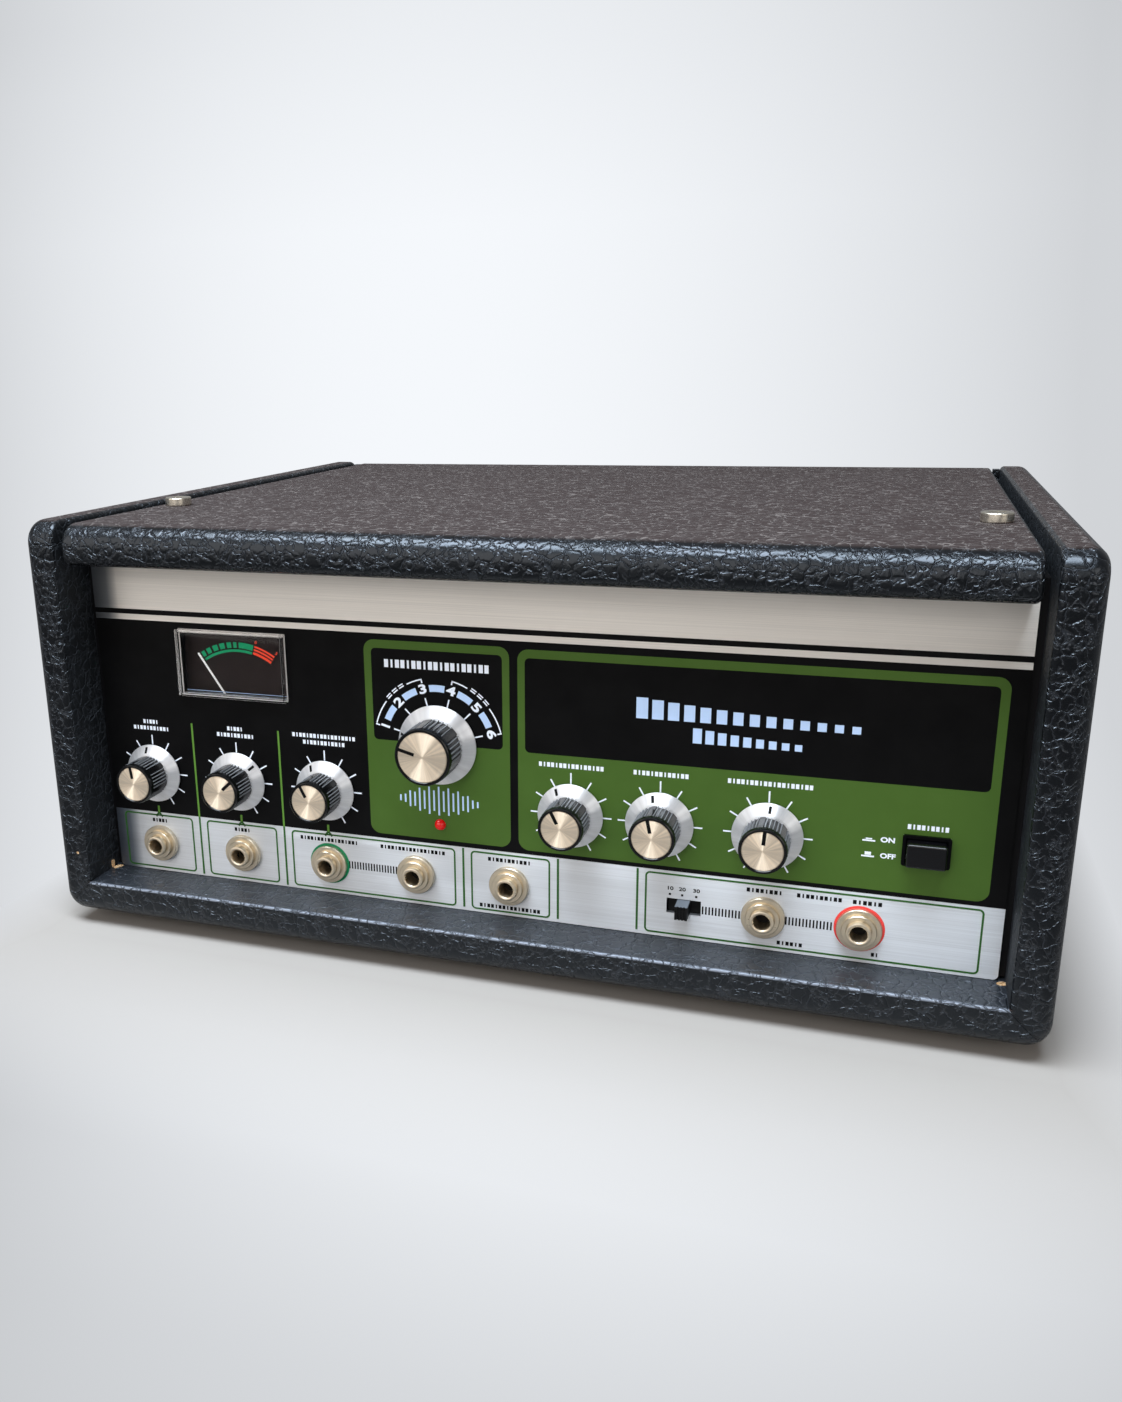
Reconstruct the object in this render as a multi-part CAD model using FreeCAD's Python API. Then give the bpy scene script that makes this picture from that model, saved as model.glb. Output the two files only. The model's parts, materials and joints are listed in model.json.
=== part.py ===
import FreeCAD, Part
import math
import os

# Tape echo unit, in millimetres. X runs to the right as seen from the front, Y to the back, Z up.
# The origin is on the standing surface, below the middle of the cabinet.

# Cabinet
cabinet_width = 417.7
cabinet_height = 179.8
cabinet_depth = 320.0
foot_height = 6.2
side_thickness = 15.2
bottom_thickness = 15.4
bottom_corner_radius = 9.5
top_corner_radius = 10.0
outer_edge_radius = 6.5
inner_edge_radius = 2.0
running_gap = 0.05

# Feet
foot_radius = 11.0
foot_top_radius = 9.5
foot_inset_x = 38.85
foot_inset_y = 40.0
foot_recess_radius = 5.0
foot_recess_depth = 4.5
foot_round = 1.0

# Screws
screw_radius = 1.75
screw_head_radius = 3.5
screw_head_height = 2.2
screw_head_round = 0.8
screw_slot_width = 0.8
screw_slot_depth = 0.8
wood_screw_length = 12.0
machine_screw_length = 7.0

# Lid
lid_gap = 4.05
lid_step = 1.4
lid_thickness = 12.0
lid_apron_height = 17.6
lid_apron_depth = 19.5
lid_front_radius = 9.5
lid_lip_radius = 5.0
lid_end_radius = 2.5
lid_rear_inset = 2.0
lid_rear_radius = 3.0

# Thumbscrews
thumb_radius = 6.0
thumb_height = 3.8
thumb_shank_radius = 2.0
thumb_shank_length = 26.0
thumb_inset_x = 30.35
thumb_inset_y = 77.0
thumb_round = 0.6
thumb_slot_length = 6.4
thumb_slot_width = 1.2
thumb_slot_depth = 1.0
thumb_hole_gap = 0.5

# Front panel
panel_recess = 21.9
panel_thickness = 2.0
panel_side_gap = 2.65
panel_foot_gap = 0.2
panel_top_gap = 1.6
panel_corner_radius = 2.0

# Rear panel and its metal plate
rear_recess = 8.0
rear_thickness = 12.0
rear_bead_width = 3.45
rear_bead_depth = 5.5
rear_bead_drop = 0.6
rear_plate_thickness = 1.5
rear_plate_width = 130.0
rear_plate_height = 60.0
rear_plate_lift = 45.0
rear_opening_margin = 8.0
rear_plate_corner = 3.0
gland_x = 35.0
gland_bore_radius = 4.0
gland_radius = 9.0
gland_thread_radius = 6.5
gland_height = 4.5
gland_tail = 8.0
fuse_x = -35.0
fuse_radius = 8.0
fuse_cap_height = 5.0
fuse_body_radius = 6.5
fuse_body_length = 34.0
fuse_cap_round = 1.0
fuse_slot_length = 10.0
fuse_slot_width = 1.6
fuse_slot_depth = 1.0

# Panel brackets
bracket_thickness = 1.5
bracket_flange = 9.0
bracket_depth = 72.0
bracket_tab = 26.0
bracket_tab_width = 24.0
bracket_top_gap = 1.0
bush_radius = 4.5
bush_height = 9.0

# Chassis tray and standoffs
tray_thickness = 1.2
tray_flange = 14.0
tray_side_gap = 4.35
tray_front_gap = 6.0
tray_rear_gap = 4.0
post_radius = 5.0
post_inset_x = 33.65
post_front = 43.0
post_rear = 20.0
post_thread = 12.0

# Control knobs, from the panel's front face outwards
knob_radius = 9.2
knob_front = 17.8
cap_radius = 8.15
cap_recess = 0.7
cap_thickness = 0.6
lip_depth = 1.2
lip_front_step = 0.6
lip_back_step = 0.1
pointer_width = 1.1
pointer_depth = 0.3
pointer_inner_share = 0.36
skirt_radius = 13.5
skirt_rim = 1.0
skirt_clear = 0.9
skirt_front = 4.6
skirt_neck = 0.6
skirt_hollow_radius = 7.6
skirt_hollow_depth = 2.6
spindle_radius = 3.0
spindle_setback = 4.0
ridge_groups = 6
ridges_per_group = 5
ridge_pitch_deg = 6.4
ridge_depth = 0.55
selector_knob_radius = 12.15
selector_front = 19.0
selector_cap_radius = 11.0
selector_skirt_radius = 17.0

# Potentiometers and the selector switch
pot_radius = 12.0
pot_depth = 11.0
pot_bush_radius = 3.9
pot_bush_reach = 2.9
pot_round = 1.0
lug_pitch = 5.0
lug_width = 2.0
lug_length = 5.0
lug_setback = 3.0
lug_thickness = 1.0
spindle_tail = 7.0
switch_radius = 16.0
switch_depth = 24.0
nut_radius = 5.8
nut_height = 2.0

# Where the controls stand: inwards from the panel's ends, or from its middle,
# and above the cabinet's underside
knob_height = 63.9
left_knob_inset = 23.3
left_knob_pitch = 42.95
right_knob_inset = 86.0
volume_to_intensity = 41.6
intensity_to_rate = 36.1
selector_x = -29.25
selector_height = 89.0

# Level meter
meter_offset_x = 1.25
meter_width = 52.3
meter_height = 29.8
meter_base = 102.2
meter_proud = 3.3
meter_wall = 1.3
meter_case_margin = 1.5
meter_round = 0.8
meter_case_depth = 26.0
meter_dial_setback = 6.0
meter_dial_thickness = 0.8
needle_lift = 1.2
needle_thickness = 0.4
needle_width = 0.7
needle_length = 33.0
needle_pivot_drop = 9.4
pivot_to_case_foot = 5.6
needle_pivot_shift = -0.55
needle_rest_deg = -34.0
needle_hub_radius = 2.2
needle_pin_radius = 0.8
needle_hub_height = 1.6
needle_tail = 3.6
needle_pin_reach = 3.2

# Indicator lamp
lamp_height = 53.5
lamp_radius = 2.5
lamp_proud = 2.2
lamp_body_depth = 7.0
lamp_rim = 0.6
lamp_rim_depth = 1.0

# Power button
power_inset = 28.8
power_height = 63.9
bezel_width = 17.0
bezel_height = 12.2
bezel_proud = 1.4
bezel_wall = 0.7
bezel_round = 1.0
sleeve_wall = 0.5
sleeve_reach = 0.5
button_gap = 0.3
button_proud = 7.0
button_travel = 4.0
button_round = 0.8
button_stem_radius = 2.0
button_stem_grip = 4.0
power_switch_depth = 26.0
power_switch_wall = 2.0
power_well_gap = 0.5
switch_clear = 0.6

# Level slide switch
slide_to_jack = 31.1
jack_height = 29.6
slide_slot_width = 13.7
slide_slot_height = 6.3
slider_width = 5.0
slider_height = 5.6
slider_proud = 7.0
slider_plate = 1.0
slider_seat = 0.3
slider_sink = 0.5
plate_margin_x = 4.0
plate_margin_z = 1.0
plate_gap_x = 0.4
plate_gap_z = 0.3
groove_width = 0.6
groove_depth = 0.5
slider_travel = 4.2
slide_body_width = 30.0
slide_body_height = 11.0
slide_body_depth = 9.0

# Jack sockets
jack_bore_radius = 3.2
jack_bush_radius = 4.8
jack_proud = 6.0
jack_flange_radius = 8.0
jack_flange_thickness = 1.5
jack_ring_radius = 6.5
jack_ring_thickness = 2.1
jack_body_size = 15.0
jack_body_depth = 26.0
jack_back_wall = 2.0
jack_lip_round = 1.0
jack_flange_round = 0.5
jack_ring_round = 0.7
normal_jack_x = -40.8
footswitch_jack_x = 1.0
echo_jack_shift = 35.9

# Tape deck
cover_to_lid = 8.6
deck_thickness = 2.0
deck_side_gap = 23.35
deck_to_meter = 2.0
deck_corner_radius = 6.0
deck_rear_gap = 6.0
tape_width = 6.35
tape_thickness = 0.1
tape_lift = 3.6
tape_line_setback = 94.1
tape_clear = 0.1
tape_corner_radius = 8.0
fold_count = 12
fold_pitch = 20.0
fold_low_gap = 14.0
fold_high_gap = 16.0
fold_wave = 9.0
capstan_inset_x = 131.65
capstan_radius = 4.0
capstan_height = 15.0
roller_radius = 11.0
roller_height = 9.5
arm_gap = 0.4
roller_foot_wall = 1.2
roller_foot_height = 1.0
axle_radius = 2.0
pivot_radius = 3.0
pivot_shift_x = 22.0
pivot_shift_y = 19.7
pivot_rise = 1.0
hub_lift = 0.5
fold_shift_x = 14.0
arm_thickness = 2.0
arm_width = 9.0
arm_tail = 40.0
arm_tail_rise = 4.0
link_pin_radius = 1.5
link_gap = 0.4
link_reach = 3.0
solenoid_width = 20.0
solenoid_length = 40.0
solenoid_height = 20.0
solenoid_gap = 13.0
solenoid_round = 1.5
plunger_radius = 3.5
plunger_reach = 30.0
plunger_end_gap = 2.0
plunger_head_width = 13.0
plunger_head_length = 9.0
plunger_slot_width = 6.0
chamber_wall = 2.0
chamber_floor = 1.5
chamber_height = 18.0
chamber_margin = 14.0
chamber_front_gap = 54.0
chamber_rear_gap = 15.9
chamber_mouth = 16.0
chamber_cover_thickness = 2.0
chamber_corner_radius = 3.0
boss_radius = 3.8
boss_sink = 0.5
bridge_thickness = 3.0
bridge_depth = 30.0
bridge_setback = 2.0
bridge_corner_radius = 3.0
head_width = 14.0
head_depth = 15.0
head_height = 12.0
head_round = 4.0
pin_rise = 1.5
erase_head_shift = 142.0
record_head_shift = 112.0
playback_1_head_shift = 77.0
playback_2_head_shift = 42.0
motor_radius = 28.0
motor_length = 36.0
motor_round = 2.0
collar_wall = 2.0
collar_rise = 1.0
flywheel_radius = 33.0
flywheel_thickness = 8.0
flywheel_gap = 1.5
flywheel_round = 1.0

# Power transformer and circuit board
transformer_side_gap = 43.65
transformer_rear_gap = 40.0
core_length = 64.0
core_depth = 40.0
core_height = 54.0
coil_swell = 12.0
coil_length = 40.0
coil_height = 34.0
coil_round = 4.0
board_left_gap = 24.0
board_right_gap = 28.65
board_front_gap = 58.0
board_rear_gap = 30.0
board_thickness = 1.6
board_lift = 10.0
spacer_radius = 3.0
spacer_inset = 7.0
component_margin_x = 20.0
component_margin_y = 30.0
component_columns = 7
component_rows = 3
capacitor_radius = 6.0
capacitor_height = 18.0
chip_length = 20.0
chip_width = 7.0
chip_height = 4.5
relay_length = 10.0
relay_width = 8.0
relay_height = 12.0

# Worked out from the sizes above
half_width = cabinet_width / 2
front_y = -cabinet_depth / 2
rear_y = cabinet_depth / 2
base_z = foot_height
top_z = base_z + cabinet_height
inner_x = half_width - side_thickness
floor_z = base_z + bottom_thickness
lid_top_z = top_z - lid_step
lid_under_z = lid_top_z - lid_thickness
lid_half = inner_x - lid_gap
panel_y = front_y + panel_recess
panel_back_y = panel_y + panel_thickness
panel_half = inner_x - panel_side_gap
panel_low_z = floor_z + panel_foot_gap
panel_high_z = lid_under_z - panel_top_gap
rear_face_y = rear_y - rear_recess
rear_inner_y = rear_face_y - rear_thickness
tray_top_z = floor_z + tray_thickness
cover_top_z = lid_under_z - cover_to_lid
chamber_top_z = cover_top_z - chamber_cover_thickness
deck_top_z = chamber_top_z - chamber_height
deck_z = deck_top_z - deck_thickness
tape_y = front_y + tape_line_setback
tape_low_z = deck_top_z + tape_lift
tape_high_z = tape_low_z + tape_width
capstan_x = inner_x - capstan_inset_x
capstan_y = tape_y - tape_thickness / 2 - tape_clear - capstan_radius
roller_y = tape_y + tape_thickness / 2 + tape_clear + roller_radius
roller_low_z = tape_low_z - (roller_height - tape_width) / 2
roller_high_z = roller_low_z + roller_height
arm_low_z = roller_high_z + arm_gap
arm_high_z = arm_low_z + arm_thickness
head_shifts = (erase_head_shift, record_head_shift, playback_1_head_shift, playback_2_head_shift)
head_xs = [capstan_x - shift for shift in head_shifts]
pivot_x = capstan_x + pivot_shift_x
pivot_y = roller_y + pivot_shift_y
tail_x = pivot_x + arm_tail
tail_y = pivot_y + arm_tail_rise
tape_right_x = pivot_x + fold_shift_x
tape_left_x = tape_right_x - fold_pitch * (fold_count - 1)
chamber_left = tape_left_x - chamber_margin
chamber_right = tape_right_x + chamber_margin
chamber_front = tape_y + chamber_front_gap
chamber_back = rear_inner_y - chamber_rear_gap
mic_1_x = -panel_half + left_knob_inset
mic_2_x = mic_1_x + left_knob_pitch
instrument_x = mic_2_x + left_knob_pitch
volume_x = panel_half - right_knob_inset
intensity_x = volume_x - volume_to_intensity
rate_x = intensity_x - intensity_to_rate
power_x = panel_half - power_inset
slide_x = volume_x - slide_to_jack
meter_x = mic_2_x + meter_offset_x

# Each small control: its place along the panel and the angle of its pointer, clockwise from straight up
small_controls = {
    "mic_volume_1": (mic_1_x, -8.0),
    "mic_volume_2": (mic_2_x, 48.0),
    "instrument_volume": (instrument_x, -27.0),
    "repeat_rate": (rate_x, -27.0),
    "intensity": (intensity_x, -12.0),
    "echo_volume": (volume_x, 4.0),
}
selector_rest_deg = -75.0
echo_jack_x = volume_x + echo_jack_shift
jack_xs = [mic_1_x, mic_2_x, instrument_x, normal_jack_x, footswitch_jack_x, volume_x, echo_jack_x]

knob_z = base_z + knob_height
selector_z = base_z + selector_height
jack_z = base_z + jack_height
lamp_x = selector_x
lamp_z = base_z + lamp_height
power_z = base_z + power_height
meter_base_z = base_z + meter_base
meter_mid_z = meter_base_z + meter_height / 2
dial_y = panel_y + meter_dial_setback
needle_x = meter_x + needle_pivot_shift
needle_z = meter_base_z - needle_pivot_drop
case_low_z = needle_z - pivot_to_case_foot
foot_xs = (-half_width + foot_inset_x, half_width - foot_inset_x)
foot_ys = (front_y + foot_inset_y, rear_y - foot_inset_y)
thumb_xs = (-half_width + thumb_inset_x, half_width - thumb_inset_x)
thumb_y = front_y + thumb_inset_y
rear_plate_z = floor_z + rear_plate_lift
plate_face_y = rear_face_y + rear_plate_thickness
post_xs = (-inner_x + post_inset_x, inner_x - post_inset_x)
post_ys = (panel_back_y + post_front, rear_inner_y - post_rear)
boss_inset = chamber_wall + boss_radius - boss_sink
boss_xs = (chamber_left + boss_inset, chamber_right - boss_inset)
boss_ys = (chamber_front + boss_inset, chamber_back - boss_inset)
boss_places = [(x, y) for x in boss_xs for y in boss_ys]
bridge_top_z = deck_top_z + bridge_thickness
solenoid_y = tail_y + solenoid_gap
plunger_z = arm_low_z - link_gap - plunger_radius
transformer_x = -inner_x + transformer_side_gap + core_length / 2
transformer_y = rear_inner_y - transformer_rear_gap - core_depth / 2
board_left = transformer_x + core_length / 2 + board_left_gap
board_right = inner_x - board_right_gap
board_front_y = panel_back_y + board_front_gap
board_back_y = rear_inner_y - board_rear_gap
spacer_xs = (board_left + spacer_inset, board_right - spacer_inset)
spacer_ys = (board_front_y + spacer_inset, board_back_y - spacer_inset)


def vec(x, y, z):
    return FreeCAD.Vector(x, y, z)


def box(x0, x1, y0, y1, z0, z1):
    return Part.makeBox(x1 - x0, y1 - y0, z1 - z0, vec(x0, y0, z0))


def rod_z(x, y, radius, z0, z1):
    return Part.makeCylinder(radius, z1 - z0, vec(x, y, z0))


def rod_y(x, z, radius, y0, y1):
    return Part.makeCylinder(radius, y1 - y0, vec(x, y0, z), vec(0, 1, 0))


def cone_y(x, z, radius_0, radius_1, y0, y1):
    return Part.makeCone(radius_0, radius_1, y1 - y0, vec(x, y0, z), vec(0, 1, 0))


def cone_z(x, y, radius_0, radius_1, z0, z1):
    return Part.makeCone(radius_0, radius_1, z1 - z0, vec(x, y, z0))


def fuse(first, *others):
    return first.multiFuse(list(others)).removeSplitter()


def cut(base, *tools):
    return base.cut(list(tools))


def round_edges(shape, radius, keep):
    edges = [edge for edge in shape.Edges if keep(edge.CenterOfMass, edge.BoundBox)]
    return shape.makeFillet(radius, edges)


def save(name, *solids):
    shape = solids[0] if len(solids) == 1 else Part.makeCompound(list(solids))
    for solid in shape.Solids:
        if not solid.isValid() or solid.Volume <= 0:
            raise ValueError(name + " has a bad solid")
    shape.exportStep(os.path.join("parts", name + ".step"))


# Cabinet: one U of boards, split along the mitres at its two lower corners
def cabinet_shell():
    outer = box(-half_width, half_width, front_y, rear_y, base_z, top_z)
    outer = round_edges(outer, bottom_corner_radius,
                        lambda c, b: c.z < base_z + 1 and abs(c.x) > half_width - 1)
    outer = round_edges(outer, top_corner_radius, lambda c, b: c.z > top_z - 1 and abs(c.y) > rear_y - 1)
    outer = round_edges(outer, outer_edge_radius, lambda c, b: b.YLength < 1 or abs(c.x) > half_width - 1)
    hollow = box(-inner_x, inner_x, front_y - 1, rear_y + 1, floor_z, top_z + 1)
    shell = outer.cut(hollow)
    on_hollow = lambda c, b: abs(abs(c.x) - inner_x) < 0.1 and b.XLength < 0.1
    shell = round_edges(shell, inner_edge_radius, lambda c, b: on_hollow(c, b) and c.z > floor_z + 1)
    return shell.Solids[0]


def mitre_wedge(side, reach):
    # a prism on the outer side of the plane through the inner and outer lower corners
    rise = bottom_thickness / side_thickness
    inner = vec(side * (inner_x - reach), 0, floor_z + reach * rise)
    outer = vec(side * (half_width + reach), 0, base_z - reach * rise)
    above = vec(side * (half_width + reach), 0, top_z + reach)
    corner = vec(side * (inner_x - reach), 0, top_z + reach)
    outline = Part.makePolygon([inner, outer, above, corner, inner])
    prism = Part.Face(outline).extrude(vec(0, cabinet_depth + 2, 0))
    prism.translate(vec(0, front_y - 1, 0))
    return prism


def make_cabinet():
    shell = cabinet_shell()
    left = mitre_wedge(-1, 2.0)
    right = mitre_wedge(1, 2.0)
    bottom = cut(shell, left, right)
    for x in foot_xs:
        for y in foot_ys:
            bottom = bottom.cut(rod_z(x, y, screw_radius, base_z - 1, floor_z + 1))
    save("side_panel_left", shell.common(left))
    save("side_panel_right", shell.common(right))
    save("bottom_panel", bottom)


def make_rear():
    low = rear_plate_z - rear_plate_height / 2
    high = rear_plate_z + rear_plate_height / 2
    board = box(-inner_x, inner_x, rear_inner_y, rear_face_y, floor_z, lid_under_z)
    opening_x = rear_plate_width / 2 - rear_opening_margin
    opening = box(-opening_x, opening_x, rear_inner_y - 1, rear_face_y + 1,
                  low + rear_opening_margin, high - rear_opening_margin)
    plate = box(-rear_plate_width / 2, rear_plate_width / 2, rear_face_y, plate_face_y, low, high)
    plate = round_edges(plate, rear_plate_corner, lambda c, b: b.YLength > rear_plate_thickness - 0.1)
    gland_hole = rod_y(gland_x, rear_plate_z, gland_thread_radius, rear_inner_y, rear_y)
    fuse_hole = rod_y(fuse_x, rear_plate_z, fuse_body_radius, rear_inner_y, rear_y)
    # a bead at each end closes the gap beside the lid
    bead_top = lid_top_z - rear_bead_drop
    right_bead = box(inner_x - rear_bead_width, inner_x, rear_face_y - 1, rear_face_y + rear_bead_depth,
                     floor_z, bead_top)
    left_bead = right_bead.mirror(vec(0, 0, 0), vec(1, 0, 0))
    save("rear_panel", fuse(board.cut(opening), right_bead, left_bead))
    save("rear_plate", cut(plate, gland_hole, fuse_hole))


def make_gland():
    nut = hexagon_y(gland_x, rear_plate_z, gland_radius, plate_face_y, plate_face_y + gland_height)
    thread = rod_y(gland_x, rear_plate_z, gland_thread_radius, rear_face_y - gland_tail, plate_face_y + 1)
    bore = rod_y(gland_x, rear_plate_z, gland_bore_radius, rear_inner_y, rear_y)
    save("cord_gland", fuse(nut, thread).cut(bore))


def make_fuse_holder():
    cap = rod_y(fuse_x, rear_plate_z, fuse_radius, plate_face_y, plate_face_y + fuse_cap_height)
    cap = round_edges(cap, fuse_cap_round, lambda c, b: c.y > plate_face_y + 1 and b.YLength < 0.1)
    body = rod_y(fuse_x, rear_plate_z, fuse_body_radius, plate_face_y - fuse_body_length, plate_face_y)
    slot = centred_box(fuse_x, rear_plate_z, fuse_slot_length, fuse_slot_width,
                       plate_face_y + fuse_cap_height - fuse_slot_depth, rear_y)
    save("fuse_holder", fuse(cap, body).cut(slot))


def make_feet():
    feet = []
    for x in foot_xs:
        for y in foot_ys:
            foot = cone_z(x, y, foot_top_radius, foot_radius, 0, base_z)
            foot = round_edges(foot, foot_round, lambda c, b: c.z < 1 and b.ZLength < 0.1)
            recess = rod_z(x, y, foot_recess_radius, -1, foot_recess_depth)
            hole = rod_z(x, y, screw_radius, 0, base_z + 1)
            feet.append(cut(foot, recess, hole))
    save("rubber_feet", *feet)


def screw(x, y, seat_z, length, way):
    # way is -1 for a screw driven downwards, with its head above seat_z, and 1 for one driven upwards
    head_z = seat_z if way < 0 else seat_z - screw_head_height
    head = rod_z(x, y, screw_head_radius, head_z, head_z + screw_head_height)
    top_edge = seat_z - way * screw_head_height
    head = round_edges(head, screw_head_round, lambda c, b: abs(c.z - top_edge) < 0.1 and b.ZLength < 0.1)
    low = min(seat_z, seat_z + way * length)
    shank = rod_z(x, y, screw_radius, low, low + length)
    slot_z = min(top_edge, top_edge + way * screw_slot_depth)
    slot = box(x - screw_head_radius, x + screw_head_radius, y - screw_slot_width / 2,
               y + screw_slot_width / 2, slot_z, slot_z + screw_slot_depth)
    return fuse(head, shank).cut(slot)


def make_screws():
    screws = []
    for x in foot_xs:
        for y in foot_ys:
            screws.append(screw(x, y, foot_recess_depth, wood_screw_length, 1))
    for x in post_xs:
        for y in post_ys:
            screws.append(screw(x, y, deck_top_z, machine_screw_length, -1))
    for x, y in boss_places:
        screws.append(screw(x, y, cover_top_z, machine_screw_length, -1))
    save("fixing_screws", *screws)


# Lid and its two thumbscrews
def make_lid():
    high = lid_top_z
    back = rear_y - lid_rear_inset
    outline = Part.makePolygon([
        vec(-lid_half, front_y, high), vec(-lid_half, back, high), vec(-lid_half, back, lid_under_z),
        vec(-lid_half, front_y + lid_apron_depth, lid_under_z),
        vec(-lid_half, front_y + lid_apron_depth, high - lid_apron_height),
        vec(-lid_half, front_y, high - lid_apron_height), vec(-lid_half, front_y, high)])
    lid = Part.Face(outline).extrude(vec(2 * lid_half, 0, 0))
    along = lambda c, b: b.XLength > 2 * lid_half - 1
    front = lambda c, b: along(c, b) and c.y < front_y + 1
    lid = round_edges(lid, lid_front_radius, lambda c, b: front(c, b) and c.z > high - 1)
    lid = round_edges(lid, lid_lip_radius, lambda c, b: front(c, b) and c.z < high - lid_front_radius)
    lid = round_edges(lid, lid_rear_radius, lambda c, b: along(c, b) and c.y > back - 1 and c.z > high - 1)
    lid = round_edges(lid, lid_end_radius,
                      lambda c, b: b.XLength < 0.1 and (c.z > high - 5 or c.y < front_y + 5))
    hole_radius = thumb_shank_radius + thumb_hole_gap
    holes = [rod_z(x, thumb_y, hole_radius, lid_under_z - 1, high + 1) for x in thumb_xs]
    save("top_lid", lid.cut(holes))


def make_thumbscrews():
    for name, x in zip(("thumbscrew_left", "thumbscrew_right"), thumb_xs):
        head = rod_z(x, thumb_y, thumb_radius, lid_top_z, lid_top_z + thumb_height)
        head = round_edges(head, thumb_round, lambda c, b: b.ZLength < 0.1)
        shank = rod_z(x, thumb_y, thumb_shank_radius, lid_top_z - thumb_shank_length, lid_top_z + 1)
        slot_z = lid_top_z + thumb_height - thumb_slot_depth
        slot = box(x - thumb_slot_length / 2, x + thumb_slot_length / 2, thumb_y - thumb_slot_width / 2,
                   thumb_y + thumb_slot_width / 2, slot_z, slot_z + thumb_height)
        save(name, fuse(head, shank).cut(slot))


def make_brackets():
    brackets = []
    for side in (-1, 1):
        wall = inner_x - bracket_thickness
        plate = box(wall, inner_x, panel_back_y, panel_back_y + bracket_depth, tray_top_z, lid_under_z)
        flange = box(inner_x - bracket_flange, inner_x, panel_back_y, panel_back_y + bracket_thickness,
                     tray_top_z, lid_under_z - bracket_top_gap)
        tab = box(inner_x - bracket_tab, inner_x, thumb_y - bracket_tab_width / 2,
                  thumb_y + bracket_tab_width / 2, lid_under_z - bracket_thickness, lid_under_z)
        bush = rod_z(thumb_xs[1], thumb_y, bush_radius, lid_under_z - bush_height, lid_under_z)
        thread = rod_z(thumb_xs[1], thumb_y, thumb_shank_radius + running_gap, tray_top_z, lid_under_z + 1)
        bracket = fuse(plate, flange, tab, bush).cut(thread)
        if side < 0:
            bracket = bracket.mirror(vec(0, 0, 0), vec(1, 0, 0))
        brackets.append(bracket)
    save("panel_brackets", *brackets)


# Front panel with a hole for each thing that passes through it
def make_front_panel():
    plate = box(-panel_half, panel_half, panel_y, panel_back_y, panel_low_z, panel_high_z)
    plate = round_edges(plate, panel_corner_radius, lambda c, b: c.z < panel_low_z + 1 and b.YLength > 1)
    low, high = panel_y - 1, panel_back_y + 1
    holes = [rod_y(x, knob_z, pot_bush_radius, low, high) for x, angle in small_controls.values()]
    holes.append(rod_y(selector_x, selector_z, pot_bush_radius, low, high))
    holes += [rod_y(x, jack_z, jack_bush_radius, low, high) for x in jack_xs]
    holes.append(rod_y(lamp_x, lamp_z, lamp_radius, low, high))
    inner_w, inner_h = bezel_width - 2 * bezel_wall, bezel_height - 2 * bezel_wall
    holes.append(centred_box(power_x, power_z, inner_w, inner_h, low, high))
    holes.append(centred_box(slide_x, jack_z, slide_slot_width, slide_slot_height, low, high))
    window_w, window_h = meter_width - 2 * meter_wall, meter_height - 2 * meter_wall
    holes.append(centred_box(meter_x, meter_mid_z, window_w, window_h, low, high))
    save("front_panel", plate.cut(holes))


# Control knobs: a ribbed body, and the metal on it, which is the skirt, the cap and the spindle
def ribbed_body(x, z, radius, y_front, y_back):
    ridge = math.radians(ridge_pitch_deg)
    edges = []
    for group in range(ridge_groups):
        start = 2 * math.pi * group / ridge_groups
        for number in range(ridges_per_group):
            a = start + number * ridge
            root = polar(x, z, radius - ridge_depth, a + 0.3 * ridge)
            root_end = polar(x, z, radius - ridge_depth, a + 0.7 * ridge)
            edges += [polar(x, z, radius, a), root, root_end]
        edges.append(polar(x, z, radius, start + ridges_per_group * ridge))
        span = 2 * math.pi / ridge_groups - ridges_per_group * ridge
        for step in range(1, 4):
            edges.append(polar(x, z, radius, start + ridges_per_group * ridge + span * step / 4))
    outline = Part.makePolygon([vec(p[0], y_front, p[1]) for p in edges + edges[:1]])
    return Part.Face(outline).extrude(vec(0, y_back - y_front, 0))


def polar(x, z, radius, angle):
    return x + radius * math.sin(angle), z + radius * math.cos(angle)


def make_control(name, x, z, angle, sizes):
    front = panel_y - sizes["front"]
    back = panel_y - skirt_front
    body = ribbed_body(x, z, sizes["knob"], front + lip_depth, back)
    rim = cone_y(x, z, sizes["knob"] - lip_front_step, sizes["knob"] - lip_back_step,
                 front, front + lip_depth)
    recess = rod_y(x, z, sizes["cap"], front - 1, front + cap_recess)
    bore = rod_y(x, z, spindle_radius, front + spindle_setback, back + 1)
    save(name + "_knob", cut(fuse(body, rim), recess, bore))
    cap_front = front + cap_recess - cap_thickness
    cap = rod_y(x, z, sizes["cap"] - running_gap, cap_front, front + cap_recess)
    tip = polar(x, z, sizes["cap"], math.radians(angle))
    root = polar(x, z, sizes["cap"] * pointer_inner_share, math.radians(angle))
    cap = cap.cut(bar_y(root, tip, pointer_width, front - 1, cap_front + pointer_depth))
    skirt = cone_y(x, z, sizes["knob"] + skirt_neck, sizes["skirt"], back, panel_y - skirt_clear - skirt_rim)
    skirt = fuse(skirt, rod_y(x, z, sizes["skirt"], panel_y - skirt_clear - skirt_rim, panel_y - skirt_clear))
    hollow = rod_y(x, z, skirt_hollow_radius, panel_y - skirt_clear - skirt_hollow_depth, panel_y)
    skirt = cut(skirt, hollow, rod_y(x, z, spindle_radius, front, panel_y))
    spindle = rod_y(x, z, spindle_radius, front + spindle_setback, panel_back_y + spindle_tail)
    save(name + "_metal", skirt, cap, spindle)


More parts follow.
